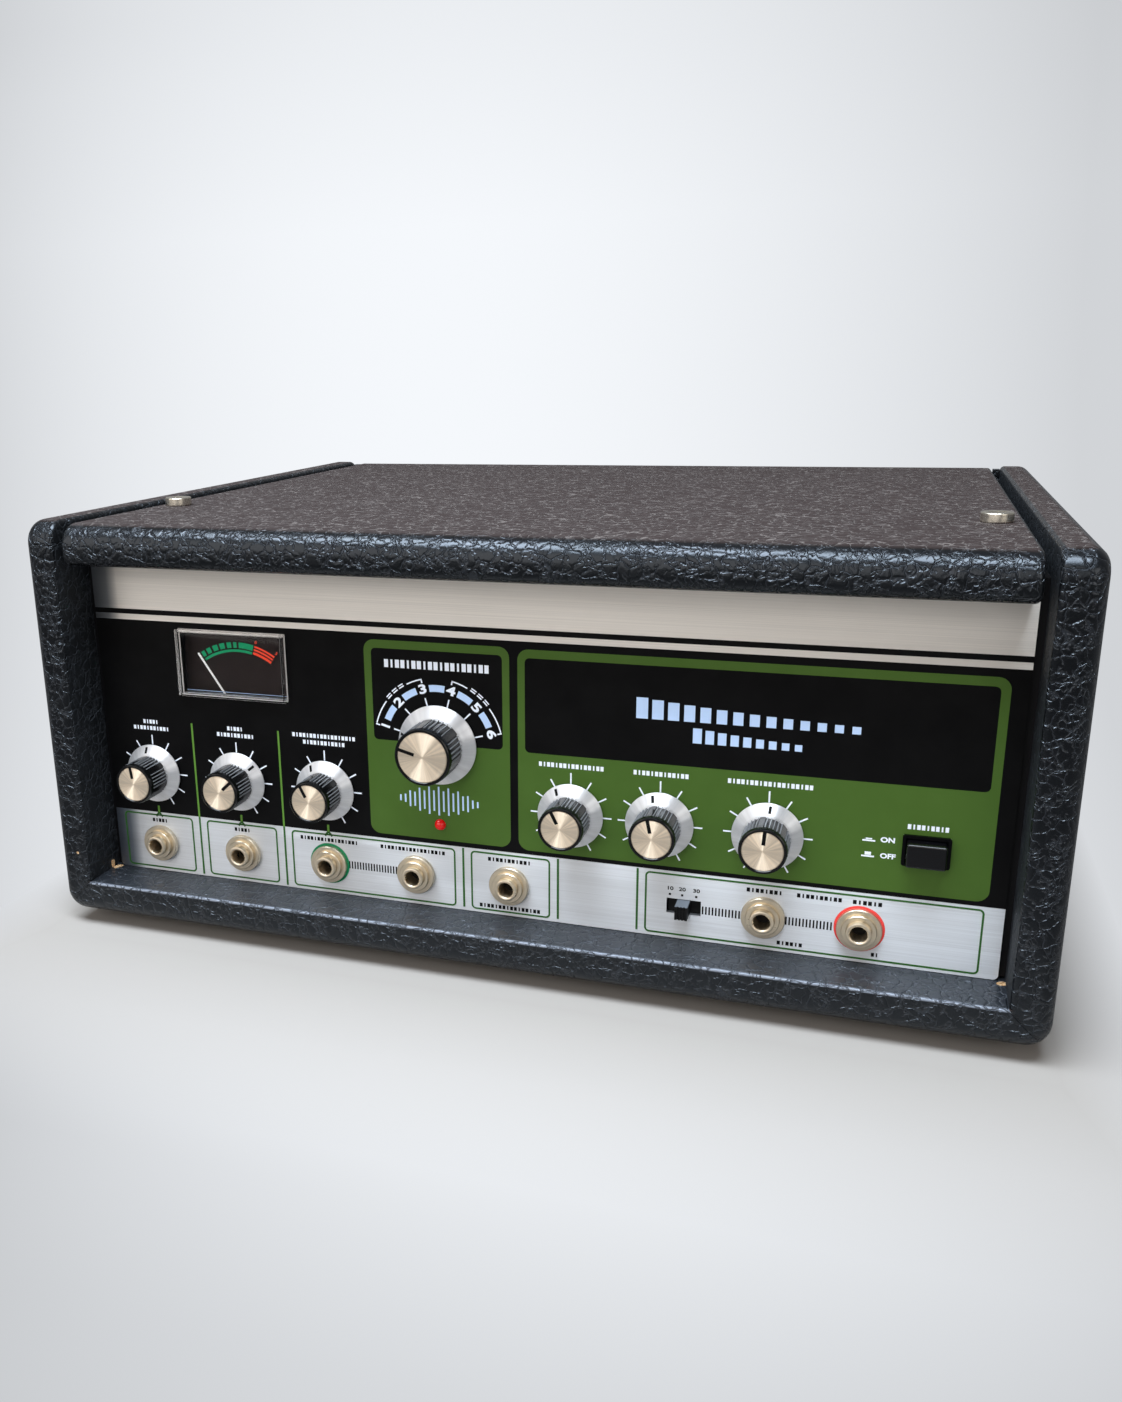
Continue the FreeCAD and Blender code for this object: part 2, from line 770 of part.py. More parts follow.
def bar_y(start, end, width, y0, y1):
    # a straight bar seen from the front, from start to end
    dx, dz = end[0] - start[0], end[1] - start[1]
    length = math.hypot(dx, dz)
    side = vec(-dz / length * width / 2, 0, dx / length * width / 2)
    a, b = vec(start[0], y0, start[1]), vec(end[0], y0, end[1])
    outline = Part.makePolygon([a + side, b + side, b - side, a - side, a + side])
    return Part.Face(outline).extrude(vec(0, y1 - y0, 0))


def make_controls():
    small = {"knob": knob_radius, "cap": cap_radius, "skirt": skirt_radius, "front": knob_front}
    large = {"knob": selector_knob_radius, "cap": selector_cap_radius, "skirt": selector_skirt_radius,
             "front": selector_front}
    for name, (x, angle) in small_controls.items():
        make_control(name, x, knob_z, angle, small)
    make_control("mode_selector", selector_x, selector_z, selector_rest_deg, large)


def pot(x, z, radius, depth):
    can = rod_y(x, z, radius, panel_back_y, panel_back_y + depth)
    can = round_edges(can, pot_round, lambda c, b: c.y > panel_back_y + 1 and b.YLength < 0.1)
    bush = rod_y(x, z, pot_bush_radius, panel_y - pot_bush_reach, panel_back_y + 1)
    bore = rod_y(x, z, spindle_radius + running_gap, panel_y - 9, panel_back_y + spindle_tail + 0.5)
    lug_y = panel_back_y + lug_setback
    lug_mid_z = z - radius + (lug_width - lug_length) / 2
    lugs = [centred_box(x + n * lug_pitch, lug_mid_z, lug_width, lug_length + lug_width,
                        lug_y, lug_y + lug_thickness) for n in (-1, 0, 1)]
    return fuse(can, bush, *lugs).cut(bore)


def nut(x, z):
    body = hexagon_y(x, z, nut_radius, panel_y - nut_height, panel_y)
    return body.cut(rod_y(x, z, pot_bush_radius, panel_y - 5, panel_y + 1))


def hexagon_y(x, z, radius, y0, y1):
    corners = [polar(x, z, radius, math.radians(60 * n)) for n in range(7)]
    outline = Part.makePolygon([vec(a, y0, b) for a, b in corners])
    return Part.Face(outline).extrude(vec(0, y1 - y0, 0))


def make_control_bodies():
    save("potentiometers", *[pot(x, knob_z, pot_radius, pot_depth) for x, angle in small_controls.values()])
    save("mode_switch", pot(selector_x, selector_z, switch_radius, switch_depth))
    nuts = [nut(x, knob_z) for x, angle in small_controls.values()]
    save("control_nuts", nut(selector_x, selector_z), *nuts)


# Level meter
def centred_box(x, z, width, height, y0, y1):
    return box(x - width / 2, x + width / 2, y0, y1, z - height / 2, z + height / 2)


def make_meter():
    face = panel_y - meter_proud
    cover = centred_box(meter_x, meter_mid_z, meter_width, meter_height, face, panel_y)
    cover = round_edges(cover, meter_round, lambda c, b: c.y < panel_y - 0.1)
    window_w, window_h = meter_width - 2 * meter_wall, meter_height - 2 * meter_wall
    cover = cover.cut(centred_box(meter_x, meter_mid_z, window_w, window_h, face + meter_wall, panel_y + 1))
    save("meter_cover", cover)
    left, right = meter_x - meter_width / 2 - meter_case_margin, meter_x + meter_width / 2 + meter_case_margin
    low, high = case_low_z, meter_base_z + meter_height + meter_case_margin
    case = box(left, right, panel_back_y, panel_back_y + meter_case_depth, low, high)
    hollow = box(left + meter_wall, right - meter_wall, panel_back_y - 1,
                 panel_back_y + meter_case_depth - meter_wall, low + meter_wall, high - meter_wall)
    pin = rod_y(needle_x, needle_z, needle_pin_radius, dial_y - needle_pin_reach,
                panel_back_y + meter_case_depth - meter_wall)
    save("meter_case", case.cut(hollow), pin)
    dial = box(left + meter_wall, right - meter_wall, dial_y, dial_y + meter_dial_thickness,
               low + meter_wall, high - meter_wall)
    save("meter_dial", dial.cut(rod_y(needle_x, needle_z, needle_pin_radius, dial_y - 1, dial_y + 2)))
    make_needle()


def make_needle():
    back = dial_y - needle_lift
    front = back - needle_thickness
    angle = math.radians(needle_rest_deg)
    hub = rod_y(needle_x, needle_z, needle_hub_radius, back - needle_hub_height, back)
    tip = polar(needle_x, needle_z, needle_length, angle)
    tail = polar(needle_x, needle_z, -needle_tail, angle)
    blade = bar_y(tail, tip, needle_width, front, back)
    bore = rod_y(needle_x, needle_z, needle_pin_radius + running_gap, back - 5, dial_y)
    save("meter_needle", fuse(hub, blade).cut(bore))


def make_lamp():
    dome_y = panel_y - lamp_proud + lamp_radius
    dome = Part.makeSphere(lamp_radius, vec(lamp_x, dome_y, lamp_z))
    body = rod_y(lamp_x, lamp_z, lamp_radius, dome_y, panel_back_y + lamp_body_depth)
    rim = rod_y(lamp_x, lamp_z, lamp_radius + lamp_rim, panel_back_y, panel_back_y + lamp_rim_depth)
    save("indicator_lamp", fuse(dome, body, rim))


# Power button, with its bezel and switch
def make_power():
    w, h = bezel_width - 2 * bezel_wall, bezel_height - 2 * bezel_wall
    rim = centred_box(power_x, power_z, bezel_width, bezel_height, panel_y - bezel_proud, panel_y)
    rim = round_edges(rim, bezel_round,
                      lambda c, b: abs(c.x - power_x) > bezel_width / 2 - 0.1 and b.YLength > 1)
    sleeve = centred_box(power_x, power_z, w, h, panel_y - sleeve_reach, panel_back_y + sleeve_reach)
    hole_w, hole_h = w - 2 * sleeve_wall, h - 2 * sleeve_wall
    hole = centred_box(power_x, power_z, hole_w, hole_h, panel_y - button_proud, panel_back_y + button_proud)
    save("power_bezel", fuse(rim, sleeve).cut(hole))
    button = centred_box(power_x, power_z, hole_w - 2 * button_gap, hole_h - 2 * button_gap,
                         panel_y - button_proud, panel_back_y)
    button = round_edges(button, button_round, lambda c, b: c.y < panel_back_y - 0.1)
    switch_y = panel_back_y + button_travel + switch_clear
    stem_end = switch_y + button_travel + button_stem_grip
    stem = rod_y(power_x, power_z, button_stem_radius, panel_back_y - 1, stem_end)
    save("power_button", fuse(button, stem))
    wall = 2 * power_switch_wall
    body = centred_box(power_x, power_z, w + wall, h + wall, panel_back_y, panel_back_y + power_switch_depth)
    room = 2 * power_well_gap
    well = centred_box(power_x, power_z, w + room, h + room, panel_back_y - 1, switch_y)
    bore = rod_y(power_x, power_z, button_stem_radius + running_gap, switch_y - 1,
                 stem_end + button_travel + 1)
    save("power_switch", cut(body, well, bore))


# Level slide switch
def make_level_switch():
    seat = panel_back_y + slider_seat
    plate_back = seat + slider_plate
    body_back = panel_back_y + slide_body_depth
    body = centred_box(slide_x, jack_z, slide_body_width, slide_body_height, panel_back_y, body_back)
    plate_w, plate_h = slider_width + 2 * plate_margin_x, slider_height + 2 * plate_margin_z
    room_w, room_h = plate_w + 2 * (slider_travel + plate_gap_x), plate_h + 2 * plate_gap_z
    room = centred_box(slide_x, jack_z, room_w, room_h, panel_back_y - 1, plate_back + slider_seat)
    save("level_switch", body.cut(room))
    front = panel_y - slider_proud
    lever = centred_box(slide_x, jack_z, slider_width, slider_height, front, seat + slider_sink)
    grooves = [centred_box(slide_x + n * slider_width / 4, jack_z, groove_width, slider_height + 1,
                           front - 1, front + groove_depth) for n in (-1, 0, 1)]
    plate = centred_box(slide_x, jack_z, plate_w, plate_h, seat, plate_back)
    save("level_slider", fuse(lever, plate).cut(grooves))


# Jack sockets, with their flange nuts
def make_jacks():
    sockets = []
    nuts = []
    for x in jack_xs:
        bush = rod_y(x, jack_z, jack_bush_radius, panel_y - jack_proud, panel_back_y + 1)
        bush = round_edges(bush, jack_lip_round, lambda c, b: c.y < panel_y - jack_proud + 0.1)
        body_back = panel_back_y + jack_body_depth
        body = centred_box(x, jack_z, jack_body_size, jack_body_size, panel_back_y, body_back)
        bore = rod_y(x, jack_z, jack_bore_radius, panel_y - jack_proud - 1, body_back - jack_back_wall)
        sockets.append(fuse(bush, body).cut(bore))
        flange_front = panel_y - jack_flange_thickness
        flange = rod_y(x, jack_z, jack_flange_radius, flange_front, panel_y)
        ring_front = flange_front - jack_ring_thickness
        ring = rod_y(x, jack_z, jack_ring_radius, ring_front, panel_y)
        flange = round_edges(flange, jack_flange_round, lambda c, b: c.y < flange_front + 0.1)
        ring = round_edges(ring, jack_ring_round, lambda c, b: c.y < ring_front + 0.1)
        hole = rod_y(x, jack_z, jack_bush_radius, ring_front - 1, panel_y + 1)
        nuts.append(fuse(flange, ring).cut(hole))
    save("jack_sockets", *sockets)
    save("jack_nuts", *nuts)


# Chassis tray, deck plate and the standoffs between them
def make_chassis():
    half = inner_x - tray_side_gap
    y0, y1 = panel_back_y + tray_front_gap, rear_inner_y - tray_rear_gap
    floor = box(-half, half, y0, y1, floor_z, tray_top_z)
    left = box(-half, -half + tray_thickness, y0 + bracket_depth, y1, floor_z, floor_z + tray_flange)
    right = box(half - tray_thickness, half, y0 + bracket_depth, y1, floor_z, floor_z + tray_flange)
    save("chassis_tray", fuse(floor, left, right))
    deck_half = inner_x - deck_side_gap
    deck_front = panel_back_y + meter_case_depth + deck_to_meter
    plate = box(-deck_half, deck_half, deck_front, rear_inner_y - deck_rear_gap, deck_z, deck_top_z)
    plate = round_edges(plate, deck_corner_radius, lambda c, b: b.ZLength > deck_thickness - 0.1)
    holes = [rod_z(x, y, screw_radius, deck_z - 1, deck_top_z + 1) for x in post_xs for y in post_ys]
    holes.append(rod_z(capstan_x, capstan_y, capstan_radius + collar_wall, deck_z - 1, deck_top_z + 1))
    save("deck_plate", plate.cut(holes))
    posts = []
    for x in post_xs:
        for y in post_ys:
            post = rod_z(x, y, post_radius, tray_top_z, deck_z)
            posts.append(post.cut(rod_z(x, y, screw_radius, deck_z - post_thread, deck_z + 1)))
    for x in spacer_xs:
        for y in spacer_ys:
            posts.append(rod_z(x, y, spacer_radius, tray_top_z, tray_top_z + board_lift))
    save("standoffs", *posts)


# Tape path: straight runs joined by arcs, going up and down the chamber and back past the heads
def fold_top(n):
    # the turn at the back of the chamber between run n - 1 and run n
    return chamber_back - fold_high_gap - fold_wave * math.sin(n // 2 * 1.9) ** 2


def low_after(n):
    # the turn at the front of the chamber between run n and run n + 1
    return chamber_front + fold_low_gap + fold_wave * math.sin((n + 1) // 2 * 2.3) ** 2


def loop_points():
    points = []
    for n in range(fold_count):
        x = tape_right_x - n * fold_pitch
        front = tape_y if n in (0, fold_count - 1) else low_after(n - 1 + n % 2)
        back = fold_top(n + 1 - n % 2)
        points += [(x, front), (x, back)] if n % 2 == 0 else [(x, back), (x, front)]
    return points


def offset_outline(points, radius, offset):
    # the closed route with its corners rounded, moved sideways by offset; radius is that of the centre line
    count = len(points)
    lines, arcs = [], []
    for n in range(count):
        before, here, after = points[n - 1], points[n], points[(n + 1) % count]
        u = unit(before, here)
        v = unit(here, after)
        turn = u[0] * v[1] - u[1] * v[0]
        start = (here[0] - u[0] * radius, here[1] - u[1] * radius)
        end = (here[0] + v[0] * radius, here[1] + v[1] * radius)
        side = 1 if turn > 0 else -1
        centre = (start[0] - u[1] * radius * side, start[1] + u[0] * radius * side)
        r = radius - side * offset
        middle_way = unit(centre, here)
        a = (start[0] - u[1] * offset, start[1] + u[0] * offset)
        m = (centre[0] + middle_way[0] * r, centre[1] + middle_way[1] * r)
        b = (end[0] - v[1] * offset, end[1] + v[0] * offset)
        arcs.append((a, m, b))
    for n in range(count):
        lines.append((arcs[n][2], arcs[(n + 1) % count][0]))
    edges = []
    for arc, line in zip(arcs, lines):
        edges.append(Part.Arc(*[vec(p[0], p[1], tape_low_z) for p in arc]).toShape())
        edges.append(Part.LineSegment(*[vec(p[0], p[1], tape_low_z) for p in line]).toShape())
    return Part.Wire(edges)


def unit(start, end):
    length = math.hypot(end[0] - start[0], end[1] - start[1])
    return (end[0] - start[0]) / length, (end[1] - start[1]) / length


def make_tape():
    points = loop_points()
    inside = Part.Face(offset_outline(points, tape_corner_radius, tape_thickness / 2))
    outside = Part.Face(offset_outline(points, tape_corner_radius, -tape_thickness / 2))
    save("tape_loop", outside.cut(inside).extrude(vec(0, 0, tape_width)))
    length = Part.Wire(offset_outline(points, tape_corner_radius, 0).Edges).Length
    print("tape loop length", round(length, 1))


# Tape chamber: a tray with two mouths for the tape, and a clear cover screwed to its bosses
def make_chamber():
    tray = box(chamber_left, chamber_right, chamber_front, chamber_back, deck_top_z, chamber_top_z)
    w = chamber_wall
    hollow = box(chamber_left + w, chamber_right - w, chamber_front + w, chamber_back - w,
                 deck_top_z + chamber_floor, chamber_top_z + 1)
    tray = tray.cut(hollow)
    for x in (tape_left_x, tape_right_x):
        tray = tray.cut(box(x - chamber_mouth / 2, x + chamber_mouth / 2, chamber_front - 1,
                            chamber_front + w + 1, deck_top_z + chamber_floor, chamber_top_z + 1))
    cover = box(chamber_left, chamber_right, chamber_front, chamber_back, chamber_top_z, cover_top_z)
    cover = round_edges(cover, chamber_corner_radius, lambda c, b: b.ZLength > chamber_cover_thickness - 0.1)
    bosses = []
    for x, y in boss_places:
        bosses.append(rod_z(x, y, boss_radius, deck_top_z + chamber_floor - boss_sink, chamber_top_z))
        cover = cover.cut(rod_z(x, y, screw_radius, chamber_top_z - 1, cover_top_z + 1))
    tray = fuse(tray, *bosses)
    for x, y in boss_places:
        tray = tray.cut(rod_z(x, y, screw_radius, chamber_top_z - machine_screw_length, chamber_top_z + 1))
    save("tape_chamber", tray)
    save("chamber_cover", cover)


# Heads on their bridge, and the pins that stand in the deck
def make_heads():
    gap_y = tape_y - tape_thickness / 2 - tape_clear
    bridge = box(head_xs[0] - head_width, head_xs[-1] + head_width, gap_y - bridge_depth, gap_y - bridge_setback,
                 deck_top_z, bridge_top_z)
    bridge = round_edges(bridge, bridge_corner_radius, lambda c, b: b.ZLength > bridge_thickness - 0.1)
    save("head_bridge", bridge)
    heads = []
    for x in head_xs:
        case = box(x - head_width / 2, x + head_width / 2, gap_y - head_depth, gap_y, bridge_top_z,
                   bridge_top_z + head_height)
        heads.append(round_edges(case, head_round, lambda c, b: c.y > gap_y - 1 and b.ZLength > 1))
    save("tape_heads", *heads)
    pins = []
    for x in (tape_left_x + tape_corner_radius, tape_right_x - tape_corner_radius):
        radius = tape_corner_radius - tape_thickness / 2 - tape_clear
        pins.append(rod_z(x, tape_y + tape_corner_radius, radius, deck_top_z, tape_high_z + pin_rise))
    pins.append(rod_z(pivot_x, pivot_y, pivot_radius, deck_top_z, arm_high_z + pivot_rise))
    save("deck_pins", *pins)


# Motor below the deck; its spindle is the capstan and carries the flywheel
def make_drive():
    motor = rod_z(capstan_x, capstan_y, motor_radius, deck_z - motor_length, deck_z)
    motor = round_edges(motor, motor_round, lambda c, b: c.z < deck_z - 1 and b.ZLength < 0.1)
    collar = rod_z(capstan_x, capstan_y, capstan_radius + collar_wall, deck_z - 1, deck_top_z + collar_rise)
    bore = rod_z(capstan_x, capstan_y, capstan_radius + running_gap, deck_z - motor_length - 1,
                 deck_top_z + collar_rise + 1)
    save("drive_motor", fuse(motor, collar).cut(bore))
    wheel_top = deck_z - motor_length - flywheel_gap
    wheel = rod_z(capstan_x, capstan_y, flywheel_radius, wheel_top - flywheel_thickness, wheel_top)
    wheel = round_edges(wheel, flywheel_round, lambda c, b: b.ZLength < 0.1)
    spindle = rod_z(capstan_x, capstan_y, capstan_radius, wheel_top - flywheel_thickness,
                    deck_top_z + capstan_height)
    save("capstan", fuse(wheel, spindle))


def make_pinch():
    points = [(capstan_x, roller_y), (pivot_x, pivot_y), (tail_x, tail_y)]
    bars = [bar_z(points[n], points[n + 1], arm_width, arm_low_z, arm_high_z) for n in (0, 1)]
    eyes = [rod_z(x, y, arm_width / 2, arm_low_z, arm_high_z) for x, y in points]
    hub = rod_z(pivot_x, pivot_y, arm_width / 2, deck_top_z + hub_lift, arm_high_z)
    foot_top = roller_low_z - arm_gap
    axle = rod_z(capstan_x, roller_y, axle_radius, foot_top, arm_high_z)
    foot = rod_z(capstan_x, roller_y, axle_radius + roller_foot_wall, foot_top - roller_foot_height, foot_top)
    link = rod_z(tail_x, tail_y, link_pin_radius, plunger_z - link_reach, arm_high_z)
    bore = rod_z(pivot_x, pivot_y, pivot_radius + running_gap, deck_top_z, arm_high_z + 1)
    save("pinch_arm", fuse(hub, axle, foot, link, *bars, *eyes).cut(bore))
    roller = rod_z(capstan_x, roller_y, roller_radius, roller_low_z, roller_high_z)
    save("pinch_roller", roller.cut(rod_z(capstan_x, roller_y, axle_radius + running_gap, deck_z, top_z)))


def bar_z(start, end, width, z0, z1):
    # a straight bar seen from above, from start to end
    u = unit(start, end)
    side = vec(-u[1] * width / 2, u[0] * width / 2, 0)
    a, b = vec(start[0], start[1], z0), vec(end[0], end[1], z0)
    outline = Part.makePolygon([a + side, b + side, b - side, a - side, a + side])
    return Part.Face(outline).extrude(vec(0, 0, z1 - z0))


def make_solenoid():
    coil = box(tail_x - solenoid_width / 2, tail_x + solenoid_width / 2,
               solenoid_y, solenoid_y + solenoid_length, deck_top_z, deck_top_z + solenoid_height)
    coil = round_edges(coil, solenoid_round, lambda c, b: b.YLength > 5)
    bore = rod_y(tail_x, plunger_z, plunger_radius + running_gap, solenoid_y - 1, solenoid_y + plunger_reach)
    save("solenoid", coil.cut(bore))
    half_w, half_l = plunger_head_width / 2, plunger_head_length / 2
    rod_end = solenoid_y + plunger_reach - plunger_end_gap
    rod = rod_y(tail_x, plunger_z, plunger_radius, tail_y + half_l - 1, rod_end)
    head = box(tail_x - half_w, tail_x + half_w, tail_y - half_l, tail_y + half_l,
               plunger_z - plunger_radius, plunger_z + plunger_radius)
    slot_x, slot_y = plunger_slot_width / 2, link_pin_radius + link_gap
    slot = box(tail_x - slot_x, tail_x + slot_x, tail_y - slot_y, tail_y + slot_y, deck_z, top_z)
    save("solenoid_plunger", fuse(rod, head).cut(slot))


# Power transformer and circuit board
def make_electrics():
    x, y = transformer_x, transformer_y
    core = box(x - core_length / 2, x + core_length / 2, y - core_depth / 2, y + core_depth / 2,
               tray_top_z, tray_top_z + core_height)
    middle_z = tray_top_z + core_height / 2
    coil = box(x - coil_length / 2, x + coil_length / 2, y - core_depth / 2 - coil_swell,
               y + core_depth / 2 + coil_swell, middle_z - coil_height / 2, middle_z + coil_height / 2)
    coil = round_edges(coil, coil_round, lambda c, b: b.ZLength > 5)
    save("power_transformer", core.cut(coil), coil)
    low = tray_top_z + board_lift
    high = low + board_thickness
    board = box(board_left, board_right, board_front_y, board_back_y, low, high)
    pieces = [board]
    pitch_x = (board_right - board_left - 2 * component_margin_x) / (component_columns - 1)
    pitch_y = (board_back_y - board_front_y - 2 * component_margin_y) / (component_rows - 1)
    for row in range(component_rows):
        for column in range(component_columns):
            at_x = board_left + component_margin_x + column * pitch_x
            at_y = board_front_y + component_margin_y + row * pitch_y
            kind = (column + row) % 3
            if kind == 0:
                pieces.append(rod_z(at_x, at_y, capacitor_radius, high, high + capacitor_height))
            elif kind == 1:
                pieces.append(box(at_x - chip_length / 2, at_x + chip_length / 2, at_y - chip_width / 2,
                                  at_y + chip_width / 2, high, high + chip_height))
            else:
                pieces.append(box(at_x - relay_width / 2, at_x + relay_width / 2, at_y - relay_length / 2,
                                  at_y + relay_length / 2, high, high + relay_height))
    save("circuit_board", *pieces)


os.makedirs("parts", exist_ok=True)
make_cabinet()
make_rear()
make_gland()
make_fuse_holder()
make_feet()
make_screws()
make_lid()
make_thumbscrews()
make_brackets()
make_front_panel()
make_controls()
make_control_bodies()
make_meter()
make_lamp()
make_power()
make_level_switch()
make_jacks()
make_chassis()
make_tape()
make_chamber()
make_heads()
make_drive()
make_pinch()
make_solenoid()
make_electrics()
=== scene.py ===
import json
import math

import bmesh
import bpy
from mathutils import Matrix, Vector

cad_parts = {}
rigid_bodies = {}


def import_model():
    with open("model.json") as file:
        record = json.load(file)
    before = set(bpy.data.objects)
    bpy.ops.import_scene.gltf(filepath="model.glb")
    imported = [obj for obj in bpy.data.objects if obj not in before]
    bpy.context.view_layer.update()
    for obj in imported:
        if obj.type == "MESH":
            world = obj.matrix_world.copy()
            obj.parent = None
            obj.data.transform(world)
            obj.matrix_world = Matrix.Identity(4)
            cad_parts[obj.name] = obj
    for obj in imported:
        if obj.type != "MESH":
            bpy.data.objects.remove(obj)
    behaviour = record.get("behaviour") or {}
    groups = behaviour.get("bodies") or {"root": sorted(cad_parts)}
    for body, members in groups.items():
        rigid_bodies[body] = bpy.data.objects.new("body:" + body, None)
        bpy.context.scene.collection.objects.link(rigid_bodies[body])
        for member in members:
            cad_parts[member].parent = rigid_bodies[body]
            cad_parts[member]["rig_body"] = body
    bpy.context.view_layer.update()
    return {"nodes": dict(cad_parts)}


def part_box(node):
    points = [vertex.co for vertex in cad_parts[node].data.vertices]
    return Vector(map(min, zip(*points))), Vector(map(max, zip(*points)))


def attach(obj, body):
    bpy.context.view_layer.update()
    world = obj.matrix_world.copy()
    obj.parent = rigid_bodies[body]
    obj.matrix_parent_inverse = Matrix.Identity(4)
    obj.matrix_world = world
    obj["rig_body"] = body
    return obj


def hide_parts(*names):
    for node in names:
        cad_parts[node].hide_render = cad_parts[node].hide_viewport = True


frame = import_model()
print("frame loaded")

mm = 0.001
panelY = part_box("front_panel")[0].y / mm
bpy.context.scene.view_settings.view_transform = "Standard"


# materials
def newMaterial(name, color, roughness, metallic=0.0, **sockets):
    material = bpy.data.materials.new(name)
    material.use_nodes = True
    shader = material.node_tree.nodes["Principled BSDF"]
    shader.inputs["Base Color"].default_value = (*color[:3], 1)
    shader.inputs["Roughness"].default_value = roughness
    shader.inputs["Metallic"].default_value = metallic
    for socket, value in sockets.items():
        shader.inputs[socket.replace("_", " ")].default_value = value
    return material


def addNode(material, kind, values=None, **settings):
    node = material.node_tree.nodes.new("ShaderNode" + kind)
    for setting, value in settings.items():
        setattr(node, setting, value)
    for socket, value in (values or {}).items():
        if isinstance(value, bpy.types.NodeSocket):
            material.node_tree.links.new(value, node.inputs[socket])
        else:
            node.inputs[socket].default_value = value
    return node


def toShader(material, socket, value):
    material.node_tree.links.new(value, material.node_tree.nodes["Principled BSDF"].inputs[socket])


def calc(material, operation, a, b=0.0, clamp=False):
    node = addNode(material, "Math", {0: a, 1: b}, operation=operation)
    node.use_clamp = clamp
    return node.outputs[0]


def apart(material, a, b):
    # how far one value is from another
    return calc(material, "ABSOLUTE", calc(material, "SUBTRACT", a, b))


def scaledPoint(material, scale=(1, 1, 1)):
    # a point of the piece in metres, stretched along each axis
    coords = addNode(material, "TexCoord").outputs["Object"]
    return addNode(material, "VectorMath", {0: coords, 1: scale}, operation="MULTIPLY").outputs[0]


def axesOf(material, vector):
    return addNode(material, "SeparateXYZ", {0: vector}).outputs


def normalAxes(material):
    return axesOf(material, addNode(material, "NewGeometry").outputs["Normal"])


def noiseAt(material, point, scale=1.0, detail=3.0, roughness=0.5):
    values = {"Vector": point, "Scale": scale, "Detail": detail, "Roughness": roughness}
    return addNode(material, "TexNoise", values)


def ramp(material, value, stops):
    node = addNode(material, "ValToRGB", {"Fac": value})
    elements = node.color_ramp.elements
    for place, (position, color) in enumerate(stops):
        element = elements[place] if place < 2 else elements.new(position)
        element.position = position
        element.color = (*color, 1)
    return node.outputs["Color"]


def rangeOf(material, value, low, high, newLow=0.0, newHigh=1.0):
    values = {"Value": value, "From Min": low, "From Max": high, "To Min": newLow, "To Max": newHigh}
    return addNode(material, "MapRange", values).outputs["Result"]


def bumpFrom(material, height, strength, distance, after=None):
    values = {"Height": height, "Strength": strength, "Distance": distance}
    if after is not None:
        values["Normal"] = after
    return addNode(material, "Bump", values).outputs["Normal"]


def mixColor(material, share, a, b):
    node = addNode(material, "Mix", data_type="RGBA")
    for place, value in ((0, share), (6, a), (7, b)):
        if isinstance(value, bpy.types.NodeSocket):
            material.node_tree.links.new(value, node.inputs[place])
        else:
            node.inputs[place].default_value = value if place == 0 else (*value, 1)
    return node.outputs[2]


def srgb(red, green, blue):
    # the linear colour that shows as this 0-255 screen colour
    return tuple((c / 255 / 12.92) if c < 11 else ((c / 255 + 0.055) / 1.055) ** 2.4 for c in (red, green, blue))


vinyl = {
    "color": srgb(9, 10, 12),
    "crease": srgb(38, 41, 46),
    "gloss": 0.25,
    "specular": 0.49,
    "sheen": (0.80, 0.89, 1.0, 1.0),
    # faces that look up: colour, crease colour and roughness; the paler and browner colours are painted
    # reflection, the pale creases painted highlights
    "lidTop": (srgb(46, 32, 27), srgb(120, 112, 108), 0.72),
    "ledge": (srgb(38, 41, 46), srgb(64, 68, 75), 0.30),
    # a pale line painted along the floor board's front edge: painted highlight
    "edgeHighlight": srgb(128, 134, 146),
    "wood": (srgb(176, 120, 66), srgb(240, 212, 170)),
    "cell": 4.9 * mm,
    "fineCell": 2.5 * mm,
    "line": 0.24 * mm,
    "creaseDepth": 0.34 * mm,
    "swell": 0.11 * mm,
    "grainDepth": 0.035 * mm,
}


